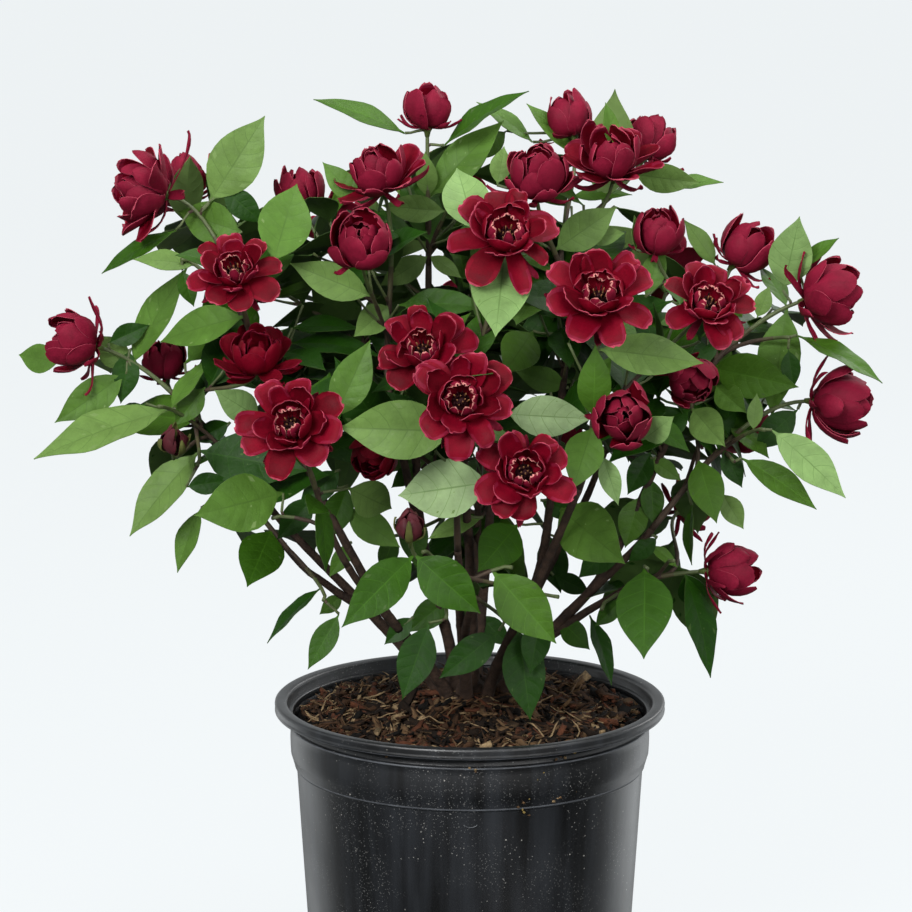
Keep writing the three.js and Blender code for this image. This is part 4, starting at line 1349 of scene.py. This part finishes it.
def add_tepal(pile, base, axes, turn, whorl, rng, size, shaded):
    """One tepal, bent round the bloom's axis, cupped, rippled and a little notched."""
    _, corners, half, cup, (outline, face, back, rim_kind) = whorl
    along, right, above = axes
    top_faces, under_faces, rim = shell(len(TEPAL_ROWS), len(TEPAL_COLUMNS))
    jitter = rng.normal(0, 1, 7)
    corners = np.asarray(corners, dtype=float) * size * (1 + RADIUS_CHANCE * jitter[0])
    loose = LOOSE_OPEN if corners[3, 1] < 0.6 * corners[3, 0] else LOOSE_CLOSED
    corners[2:] += np.array([0.4, -1]) * jitter[1] * loose * OPEN_RADIUS * np.array([[0.6], [1]]) * size
    spine = cubic(through(corners), TEPAL_ROWS)
    slope = unit(np.gradient(spine, axis=0))
    inward = np.stack([-slope[:, 1], slope[:, 0]], axis=-1)
    w, t = TEPAL_COLUMNS[None], TEPAL_ROWS[:, None]
    width = half * size * (1 + WIDTH_CHANCE * jitter[2]) * np.interp(t, outline[:, 0], outline[:, 1])
    width = width * (1 + EDGE_WAVE * np.sin(11 * t + 3 * w + 4 * jitter[4]))
    ripple = 1.5 * size * np.sin(7.5 * t + 3 * w + 6 * jitter[3]) * w**2 * t + 0.13 * jitter[6] * w * width
    ripple = ripple - 0.5 * size * np.exp(-((w / 0.2) ** 2)) * t
    lift = cup * size * (1 + CUP_CHANCE * jitter[5]) * np.abs(w) ** 2.2 * np.sin(math.pi * (0.15 + 0.75 * t))
    lift = lift + ripple
    notch = half * size * rng.uniform(-0.05, 0.09) * np.exp(-((w / 0.35) ** 2)) * t**8
    radius = spine[:, :1] + inward[:, :1] * lift
    height = spine[:, 1:] + inward[:, 1:] * lift
    bend = w * width / np.maximum(spine[:, :1], 0.45 * OPEN_RADIUS * size)
    spoke, tangent = round_from(right, above, turn), round_from(above, -right, turn)
    out = radius * np.cos(bend)
    across = w * width * np.sinc(bend / math.pi)
    top = base + out[..., None] * spoke + across[..., None] * tangent + height[..., None] * along
    push = inward[:, None, :1] * spoke + inward[:, None, 1:] * along
    top = top - notch[..., None] * (slope[:, None, :1] * spoke + slope[:, None, 1:] * along)
    under = top - TEPAL_THICK * size * push
    kinds = tepal_kinds(face, back, rim_kind, len(under_faces), rng)
    if shaded:
        kinds = IN_SHADE[kinds]
    pile.add(both_sides(top, under), np.concatenate([top_faces, under_faces]), kinds, rim)


def add_heart(pile, base, along, right, above, rng):
    """The dark middle of an open bloom and the stamens round it."""
    points, faces = tube(base + np.outer(HEART_HEIGHTS, along), HEART_RADII, 12)
    pile.add(points, faces, HEART)
    for i in range(STAMENS):
        turn = 2 * math.pi * i / STAMENS + rng.normal(0, 0.1)
        ring = STAMEN_RINGS[i % 2]
        spoke = round_from(right, above, turn)
        foot = base + spoke * ring * 0.8 + along * 5
        top = base + spoke * ring * rng.uniform(0.75, 1.25) + along * rng.uniform(9.5, 12.5)
        points, faces = tube(foot + np.outer(STAMEN_SHARES, top - foot), STAMEN_RADII, 5)
        pile.add(points, faces, HEART if i % 3 else STAMEN)


def add_bloom(pile, shoot, rng):
    """Whorls of tepals on the swollen end of the stalk."""
    kind = shoot["form"]
    base, along = shoot["tip"], shoot["facing"]
    if kind in ("open", "wide"):
        along = unit(along + LIFTED * UP)
    right, above = square_to(along)
    spin = rng.uniform(0, 2 * math.pi)
    size = rng.uniform(*BLOOM_SIZE_CHANCE) * shoot["size"]
    for k, whorl in enumerate(WHORLS[kind]):
        count = whorl[0]
        for i in range(count):
            turn = spin + 2 * math.pi * (i + 0.5 * (k % 2)) / count + rng.normal(0, TURN_CHANCE)
            add_tepal(pile, base, (along, right, above), turn, whorl, rng, size, shoot["shaded"])
    radii = np.array(STALK_RADII) * (BUD_STALK if kind == "bud" else 1)
    points, faces = tube(base + np.outer(STALK_HEIGHTS, along), radii, 10)
    pile.add(points, faces, STALK)
    if kind == "open":
        add_heart(pile, base, along, right, above, rng)


def bloom_materials():
    def petal(name, rgb):
        return finish(name, rgb, 0.62, 0.26, 80, 0.4, 450, specular=0.09, depth=0.0007, detail=6)

    return [
        petal("petal_deep", (124, 0, 28)),
        petal("petal_dark", (106, 0, 21)),
        petal("petal_dusky", (138, 24, 52)),
        # Pinkish rim colour: partly the tepals' own paler margin, partly painted highlight
        petal("petal_rim_and_highlight", (184, 72, 92)),
        petal("petal_tip", (230, 150, 142)),
        finish("bloom_heart", (44, 10, 16), 0.7, 0.3, 200, 0.3, 1200, specular=0.15),
        finish("stamen", (156, 110, 70), 0.65, 0.2, 300, 0.1, 1500, specular=0.2),
        finish("bloom_stalk", (96, 112, 56), 0.6, 0.2, 120, 0.2, 900, specular=0.25),
        finish("bud_scale", (100, 104, 52), 0.65, 0.25, 120, 0.2, 900, specular=0.2),
        finish("bud_petal", (92, 34, 42), 0.65, 0.3, 120, 0.25, 900, specular=0.2),
    ]


# Pot and mulch

POT_PROFILE = [
    (0.01, 1.2), (96, 1.2), (99, 0.9), (100.5, 0), (110.6, 0), (111.8, 0.4), (112.4, 1.4), (113.5, 18),
    (117.6, 80), (121.4, 140), (124.5, 191.2), (124.7, 192.2), (125.5, 192.6), (126, 193.2), (126.1, 194),
    (128, 200.6), (128.6, 202.4), (128.95, 208), (129.05, 213), (128.9, 218), (128.7, 222), (129, 222.8),
    (129.2, 223.4), (128.9, 224), (127.6, 224.4), (127.1, 225.2), (127, 231.4), (127.3, 232), (128.2, 232.3),
    (138.6, 232.3), (139.5, 232.6), (139.9, 233.2), (140, 234), (139.7, 234.8), (139.6, 235.6), (140, 238),
    (139.8, 239.2), (139.1, 239.9), (138, 240.1), (134, 239.9), (132.3, 239.6), (131.4, 238.9),
    (130.9, 236.8), (130.2, 233.5), (127.5, 228), (125.4, 224.6), (122.8, 193.5), (122.4, 190), (110.2, 6),
    (109, 3.6), (106, 3), (0.01, 3),
]
# Rings of the profile whose faces are drawn light grey: painted highlights along the lip, the collar and a
# ridge
PAINTED_HIGHLIGHT_EDGES = [(125.5, 192.6), (126, 193.2), (129, 222.8), (129.2, 223.4), (139.5, 232.6)]
POT_SIDES = 160
DRAIN_COUNT = 6
DRAIN_RADIUS = 8
DRAIN_CIRCLE = 82
# Grey of the upright streaks: partly flow marks in the plastic, partly painted sheen
STREAK_AND_SHEEN_COLOUR = (54, 58, 64)
# Each kind of dust is (scale of its cells, reach in a cell, scale of its patches, where they start, how
# far it covers, colour)
DUST = [
    (600, 0.24, 20, 0.49, 0.6, (150, 150, 148)),
    (290, 0.15, 24, 0.5, 0.8, (180, 178, 172)),
    (150, 0.1, 30, 0.52, 0.95, (206, 202, 194)),
]


def pot_material():
    """Black moulded plastic with a soft sheen, upright streaks that are partly flow marks and partly painted
    sheen, and pale dust.
    """
    material = finish("pot_plastic", (7, 9, 12), 0.4, 0.4, 9, 0.1, 200, specular=0.8, depth=0.0005)
    nodes, links = material.node_tree.nodes, material.node_tree.links
    shader = nodes["Principled BSDF"]
    place = nodes.new("ShaderNodeTexCoord").outputs["Object"]
    drawn_out = nodes.new("ShaderNodeMapping")
    drawn_out.inputs["Scale"].default_value = (1, 1, 0.06)
    links.new(place, drawn_out.inputs["Vector"])

    def specks(scale, reach, patches, least, share):
        cells = nodes.new("ShaderNodeTexVoronoi")
        cells.inputs["Scale"].default_value = scale
        links.new(place, cells.inputs["Vector"])
        dots = ranged(nodes, links, cells.outputs["Distance"], reach * 0.5, reach, 1, 0)
        sparse = ranged(nodes, links, noise(nodes, links, place, patches, 3.0), least, least + 0.1, 0, share)
        both = nodes.new("ShaderNodeMath")
        both.operation = "MULTIPLY"
        links.new(dots, both.inputs[0])
        links.new(sparse, both.inputs[1])
        return both.outputs[0]

    tone = shader.inputs["Base Color"].links[0].from_socket
    # Upright streaks, partly flow marks and partly painted sheen
    streaks = ranged(nodes, links, noise(nodes, links, drawn_out.outputs[0], 55, 4.0), 0.42, 0.72, 0, 0.7)
    tone = blended(nodes, links, streaks, tone, colour(*STREAK_AND_SHEEN_COLOUR))
    for *dust, rgb in DUST:
        tone = blended(nodes, links, specks(*dust), tone, colour(*rgb))
    links.new(tone, shader.inputs["Base Color"])
    return material


def add_pot():
    pile = Pile()
    points, faces = lathe(POT_PROFILE, POT_SIDES)
    row = np.repeat(np.arange(len(POT_PROFILE) - 1), POT_SIDES)
    # The faces on those rings take the light grey material: painted highlight
    painted_highlight = np.isin(row, [k for k, (r, z) in enumerate(POT_PROFILE[:-1]) if (r, z) in PAINTED_HIGHLIGHT_EDGES])
    pile.add(points, faces, painted_highlight.astype(int))
    # A small moulded arc on the front of the wall, drawn in the same light grey: a painted highlight
    turn = np.radians(np.linspace(205, 335, 12))
    mark = np.stack([5 * np.cos(turn), np.full(12, -124.3), 184 + 3.4 * np.sin(turn)], axis=-1)
    points, faces = tube(mark, np.full(12, 0.4), 6)
    pile.add(points, faces, 1)
    # Light grey for the pot's edges and moulded arc: painted highlight
    edge = finish("pot_painted_highlight", (96, 99, 104), 0.4, 0.35, 60, 0.2, 500, specular=0.4)
    pot = pile.make("nursery_pot", "pot", [pot_material(), edge], ["pot"])
    for k in range(DRAIN_COUNT):
        angle = 2 * math.pi * (k + 0.5) / DRAIN_COUNT
        bpy.ops.mesh.primitive_cylinder_add(
            vertices=40, radius=DRAIN_RADIUS * MM, depth=0.02,
            location=(DRAIN_CIRCLE * MM * math.cos(angle), DRAIN_CIRCLE * MM * math.sin(angle), 0),
        )
        hole = bpy.context.object
        cut = pot.modifiers.new("drain", "BOOLEAN")
        cut.operation = "DIFFERENCE"
        cut.object = hole
        graph = bpy.context.evaluated_depsgraph_get()
        shaped = bpy.data.meshes.new_from_object(pot.evaluated_get(graph))
        pot.modifiers.clear()
        pot.data = shaped
        bpy.data.objects.remove(hole)


SOIL_RADII = (0, 18, 34, 48, 72, 102, 124)
SOIL_HEIGHTS = (247, 244, 239, 234, 230.5, 228.5, 226)
SOIL_WALL = [(0.01, 3.3), (60, 3.3), (109.3, 3.4), (115, 80), (122, 193), (124.1, 224)]
SOIL_EDGE = 124


def soil_height(radius, x, y):
    """The soil's height, a little higher in the middle and lumpy between the stump and the wall."""
    flat = np.interp(radius, SOIL_RADII, SOIL_HEIGHTS)
    lumps = 2 * np.sin(0.11 * x + 0.4) * np.cos(0.1 * y - 0.7) + 1.3 * np.sin(0.23 * x + 0.17 * y)
    return flat + lumps * np.clip((radius - 30) / 15, 0, 1) * np.clip((SOIL_EDGE - radius) / 12, 0.2, 1)


def add_soil(rng):
    top = [(radius, 0) for radius in np.concatenate([[124.1], np.linspace(122.5, 2, 52), [0.01]])]
    points, faces = lathe(SOIL_WALL + top, 132)
    upper = points[len(SOIL_WALL):]
    radius = np.hypot(upper[..., 0], upper[..., 1])
    rough = rng.normal(0, 0.8, upper.shape[:2]) * np.clip((SOIL_EDGE - radius) / 8, 0, 1)
    upper[..., 2] = soil_height(radius, upper[..., 0], upper[..., 1]) + rough
    pile = Pile()
    pile.add(points, faces, 0)
    # Nearly black: the soil's own dark brown, deepened as painted shade in the gaps between the strands of
    # mulch
    dark = finish("soil_dark", (8, 5, 3), 0.95, 0.4, 130, 0.9, 500, specular=0.2, depth=0.003)
    pile.make("soil_bed", "soil", [dark], ["soil"])


# The sixth brown, nearly black, is partly dark bark and partly painted shade between the strands
MULCH_COLOURS = [
    (34, 23, 14), (70, 48, 31), (104, 80, 55), (156, 132, 98), (94, 55, 36), (11, 7, 4), (142, 122, 70),
]
# Each kind of strand is (count, half lengths, half widths, flatness, tilt, shares of the colours)
MULCH_STRANDS = [
    (900, (4, 13), (1, 2.9), 0.32, 0.2, [0.28, 0.28, 0.13, 0.04, 0.11, 0.16]),
    (900, (4, 12), (0.35, 1.0), 0.8, 0.24, [0.12, 0.22, 0.24, 0.22, 0.16, 0.04]),
    (120, (12, 24), (0.4, 0.9), 0.8, 0.16, [0.05, 0.2, 0.3, 0.35, 0.1, 0]),
]
STRAND_REACH = 114
STRAND_TAPER = (0.45, 0.85, 1, 1, 0.95, 0.8, 0.4)
MULCH_CHIPS = 1500
MULCH_REACH = 121
CHIP_SHARES = [0.28, 0.25, 0.13, 0.05, 0.12, 0.17]
# Crumbs of bark on the outside of the pot, in pixels of the view from the front. On the pot's front a
# pixel is POT_PIXEL millimetres, and the pot's radius and height are known at some rows of pixels.
POT_MIDDLE_PIXEL = 469.7
POT_PIXEL = 0.715
CRUMB_ROWS = (757, 766, 803, 830)
CRUMB_RADII = (128.6, 129.1, 126.2, 124.9)
CRUMB_HEIGHTS = (232, 224.6, 193.6, 175)
POT_CRUMBS = [
    (468, 767), (471, 769), (475, 767), (552, 764), (556, 762), (559, 764), (567, 760), (571, 759),
    (517, 797), (519, 801), (521, 799), (520, 805), (523, 796), (518, 808), (545, 797), (550, 799),
    (553, 797), (558, 797), (563, 798), (566, 795), (389, 761), (530, 812), (515, 793), (549, 800),
    (532, 778), (541, 774), (528, 785),
]
BOX = np.array([[0, 3, 2, 1], [4, 5, 6, 7], [0, 1, 5, 4], [1, 2, 6, 5], [2, 3, 7, 6], [3, 0, 4, 7]])


def add_mulch(rng):
    """Shredded bark: chips and fibres strewn over the soil and a few crumbs on the pot, in a few browns."""
    pile = Pile()
    corners = np.array([[x, y, z] for z in (-1, 1) for x, y in ((-1, -1), (1, -1), (1, 1), (-1, 1))], float)

    def chip(centre, size, turn, tilt, kind):
        a = vec(math.cos(turn) * math.cos(tilt), math.sin(turn) * math.cos(tilt), math.sin(tilt))
        b = unit(np.cross(UP, a) + rng.normal(0, 0.25, 3))
        c = np.cross(a, b)
        shape = corners * size * (1 + rng.normal(0, 0.2, (8, 3)))
        pile.add(centre + shape @ np.array([a, b, c]), BOX, kind)

    def strewn(within):
        radius = within * math.sqrt(rng.random())
        angle = rng.uniform(0, 2 * math.pi)
        return radius, radius * math.cos(angle), radius * math.sin(angle)

    for _ in range(MULCH_CHIPS):
        radius, x, y = strewn(MULCH_REACH)
        long = rng.choice([rng.uniform(1, 3), rng.uniform(3, 9)], p=[0.5, 0.5])
        size = vec(long, long * rng.uniform(0.2, 0.5), rng.uniform(0.5, 2))
        reach = min(1, (122.5 - long) / max(radius, 1))
        centre = vec(x * reach, y * reach, soil_height(radius, x, y) + rng.uniform(-0.5, 5))
        turn, tilt = rng.uniform(0, math.pi), rng.normal(0, 0.4)
        chip(centre, size, turn, tilt, rng.choice(6, p=CHIP_SHARES))
    strands = [strand for strand in MULCH_STRANDS for _ in range(strand[0])]
    for _, lengths, widths, flat, tilt, shares in strands:
        _, x, y = strewn(STRAND_REACH)
        turn = rng.uniform(0, 2 * math.pi)
        long = rng.uniform(*lengths)
        t = np.linspace(-1, 1, 7)
        bow, kink = rng.normal(0, 0.3) * long, rng.normal(0, 0.1) * long
        sway = bow * t**2 + kink * np.sin(4 * t)
        lx = x + t * long * math.cos(turn) - sway * math.sin(turn)
        ly = y + t * long * math.sin(turn) + sway * math.cos(turn)
        far = np.hypot(lx, ly).max()
        if far > MULCH_REACH:
            lx, ly = lx * (MULCH_REACH - 1) / far, ly * (MULCH_REACH - 1) / far
        lift = rng.uniform(0.8, 5) + rng.normal(0, tilt) * long * t + abs(rng.normal(0, 0.14)) * long * t**2
        lz = soil_height(np.hypot(lx, ly), lx, ly) + np.clip(lift, 0.2, 11)
        taper = np.array(STRAND_TAPER) * (1 + rng.normal(0, 0.12, 7))
        line = np.stack([lx, ly, lz], axis=-1)
        points, faces = tube(line, rng.uniform(*widths) * taper, 5, flat=flat)
        pile.add(points, faces, rng.choice(6, p=shares))
    for u, v in POT_CRUMBS:
        x = (u - POT_MIDDLE_PIXEL) * POT_PIXEL
        radius, height = np.interp(v, CRUMB_ROWS, CRUMB_RADII), np.interp(v, CRUMB_ROWS, CRUMB_HEIGHTS)
        x += rng.normal(0, 1.2)
        centre = vec(x, -math.sqrt(radius**2 - x**2), height + rng.normal(0, 0.7))
        size = rng.uniform(0.35, 1) * vec(1.3, 0.9, 0.7)
        chip(centre, size, rng.uniform(0, math.pi), rng.normal(0, 0.4), rng.choice([2, 3, 6]))
    made = [
        finish(f"mulch_{k}", rgb, 0.9, 0.35, 240, 0.6, 900, specular=0.2, depth=0.001)
        for k, rgb in enumerate(MULCH_COLOURS)
    ]
    pile.make("bark_mulch", "soil", made, ["soil"])


ROOT_HEIGHTS = (229, 232, 235, 238, 241, 244, 247, 250, 253, 255.5, 257)
ROOT_RADII = (35, 33, 30, 27, 25, 24, 22, 19, 15, 8, 0.05)


def add_root_crown(rng, bark):
    """The low lobed stump where the stems meet the soil."""
    points, faces = lathe(list(zip(ROOT_RADII, ROOT_HEIGHTS)), 90)
    turn = np.arctan2(points[..., 1], points[..., 0])
    rough = 1 + 0.16 * np.cos(7 * turn + 0.5) + 0.07 * np.sin(17 * turn + 0.3 * points[..., 2])
    rough = rough + rng.normal(0, 0.03, turn.shape)
    points[..., :2] *= rough[..., None]
    pile = Pile()
    pile.add(points, faces, 0)
    pile.make("root_crown_bark", "bark", [bark], ["root_crown"])


def bark_material():
    return finish("bark_brown", (66, 49, 38), 0.82, 0.5, 140, 0.8, 420, specular=0.3, depth=0.0016)


# Building the plant

BUILD_SEED = 11


def build():
    rng = np.random.default_rng(BUILD_SEED)
    plans = grow_plant()
    bark = bark_material()
    stems, boughs = Pile(), Pile()
    for plan in plans.values():
        add_limb(boughs if "from" in plan else stems, plan, rng)
    stems.make("stems_bark", "bark", [bark], ["stem_" + n for n, p in plans.items() if "from" not in p])
    boughs.make("boughs_bark", "bark", [bark], ["bough_" + n for n, p in plans.items() if "from" in p])
    add_root_crown(rng, bark)

    green_wood = finish("twig_green", (92, 106, 58), 0.6, 0.2, 120, 0.3, 700)
    brown_wood = finish("twig_brown", (78, 60, 44), 0.75, 0.3, 140, 0.5, 600)
    mid_wood = finish("twig_olive", (88, 82, 50), 0.7, 0.25, 130, 0.4, 650)
    leaf_looks, bloom_looks = leaf_materials(), bloom_materials()
    for group, names in LEAF_GROUPS.items():
        masses = ["mass_" + name for name in names]
        leaves, twigs, blooms = Pile(), Pile(), Pile()
        for name in names:
            plan = plans[name]
            for leaf in plan["leaves"]:
                leaf["tint"] = tint_of(leaf, name, rng)
            add_leaves(leaves, plan["leaves"], rng)
            for index, shoot in enumerate(plan["shoots"]):
                wide = (TWIG_RADIUS if index else LIMB_TIP_RADIUS) * LIMB_THINNING
                add_twig(twigs, shoot["curve"], wide, TWIG_TIP_RADIUS, SHOOT_WOODY)
                if shoot["kind"] != "leafy":
                    add_bloom(blooms, shoot, rng)
            for twig in plan["twigs"]:
                add_twig(twigs, twig["curve"], *twig["radii"], TWIG_WOODY)
        leaves.make("leaves_" + group, "foliage", leaf_looks, masses)
        twigs.make("twigs_" + group, "bark", [brown_wood, mid_wood, green_wood], masses)
        blooms.make("blooms_" + group, "petal", bloom_looks, masses)
    add_pot()
    add_soil(rng)
    add_mulch(rng)


# Stage: a pale floor, soft light and the camera

ROOM_COLOUR = (0.872, 0.91, 0.925, 1)
UPRIGHT = (math.pi / 2, 0, 0)
SIDEWAYS = (math.pi / 2, 0, math.pi / 2)
# Each card is (name, place, turn, size, glow), unseen by the camera and by diffuse light: black ones for the
# front of the pot to mirror, and pale ones that glow for its sides to mirror, as painted reflections
CARDS = [
    ("upright_card", (0, -2.7, 0.6), UPRIGHT, (16, 2.6), 0),
    ("low_card", (0, -3, -0.3), (0, 0, 0), (6, 6), 0),
    ("left_card", (-2.2, 3, -0.9), SIDEWAYS, (4, 1.6), 1.5),
    ("right_card", (2.2, 3, -0.9), SIDEWAYS, (4, 1.6), 1.7),
]
# Each lamp is (name, place, size, power)
LAMPS = [
    ("key_light", (-1.2, -2.4, 2.0), 1.4, 104),
    ("fill_light", (1.3, -2.8, 1.3), 1.6, 48),
    ("top_light", (0.6, 0.1, 2.6), 1.6, 42),
    ("back_light", (1.6, 1.9, 1.7), 1.4, 22),
]
# How bright the room is from below, at 0, to above, at 1
ROOM_LEVELS = [(0.46, 0.27), (0.495, 1.0), (0.56, 1.0), (0.68, 0.48)]
ROOM_BELOW = 0.22
ROOM_ABOVE = 0.44


def glowing(piece, base, strength):
    """Gives a piece of the room a material that shines in the room's colour."""
    material = bpy.data.materials.new(piece.name)
    material.use_nodes = True
    shader = material.node_tree.nodes["Principled BSDF"]
    shader.inputs["Base Color"].default_value = base
    shader.inputs["Emission Color"].default_value = ROOM_COLOUR
    shader.inputs["Emission Strength"].default_value = strength
    piece.data.materials.append(material)
    return shader


def floor():
    bpy.ops.mesh.primitive_circle_add(vertices=96, radius=60, fill_type="NGON", location=(0, 0, -0.0005))
    ground = bpy.context.object
    ground.name = "studio_floor"
    shader = glowing(ground, (0.05, 0.052, 0.053, 1), 0.95)
    shader.inputs["Roughness"].default_value = 0.9
    shader.inputs["Specular IOR Level"].default_value = 0.0
    ground.visible_diffuse = False
    ground.visible_glossy = False


def softbox(name, place, size, power):
    light = bpy.data.lights.new(name, "AREA")
    light.shape = "DISK"
    light.size = size
    light.energy = power
    lamp = bpy.data.objects.new(name, light)
    bpy.context.scene.collection.objects.link(lamp)
    lamp.location = place
    away = np.asarray(place) - vec(0, 0, 0.45)
    flat = math.hypot(away[0], away[1])
    lamp.rotation_euler = (math.atan2(flat, away[2]), 0, math.atan2(away[0], -away[1]))


def cards():
    for name, place, turn, size, glow in CARDS:
        bpy.ops.mesh.primitive_plane_add(size=1, location=place, rotation=turn)
        card = bpy.context.object
        card.name = name
        card.scale = (*size, 1)
        glowing(card, (0.01, 0.01, 0.01, 1), glow)
        card.visible_camera = card.visible_diffuse = card.visible_shadow = False


def studio():
    floor()
    cards()
    world = bpy.data.worlds.new("studio_world")
    bpy.context.scene.world = world
    world.use_nodes = True
    nodes, links = world.node_tree.nodes, world.node_tree.links
    background = nodes["Background"]
    background.inputs["Color"].default_value = ROOM_COLOUR
    split = nodes.new("ShaderNodeSeparateXYZ")
    links.new(nodes.new("ShaderNodeTexCoord").outputs["Generated"], split.inputs[0])
    ramp = nodes.new("ShaderNodeValToRGB")
    ramp.color_ramp.elements[0].color = (ROOM_BELOW, ROOM_BELOW, ROOM_BELOW, 1)
    ramp.color_ramp.elements[1].color = (ROOM_ABOVE, ROOM_ABOVE, ROOM_ABOVE, 1)
    for place, level in ROOM_LEVELS:
        ramp.color_ramp.elements.new(place).color = (level, level, level, 1)
    links.new(ranged(nodes, links, split.outputs[2], -1, 1, 0, 1), ramp.inputs["Fac"])
    links.new(ramp.outputs["Color"], background.inputs["Strength"])
    for lamp in LAMPS:
        softbox(*lamp)
    camera = bpy.data.objects.new("front_camera", bpy.data.cameras.new("front_camera"))
    bpy.context.scene.collection.objects.link(camera)
    camera.data.lens = CAMERA_LENS
    camera.data.sensor_width = CAMERA_SENSOR
    camera.location = CAMERA_PLACE * MM
    camera.rotation_euler = (math.pi / 2 - CAMERA_PITCH, 0, 0)
    bpy.context.scene.camera = camera
    bpy.context.scene.view_settings.view_transform = "Standard"


build()
studio()
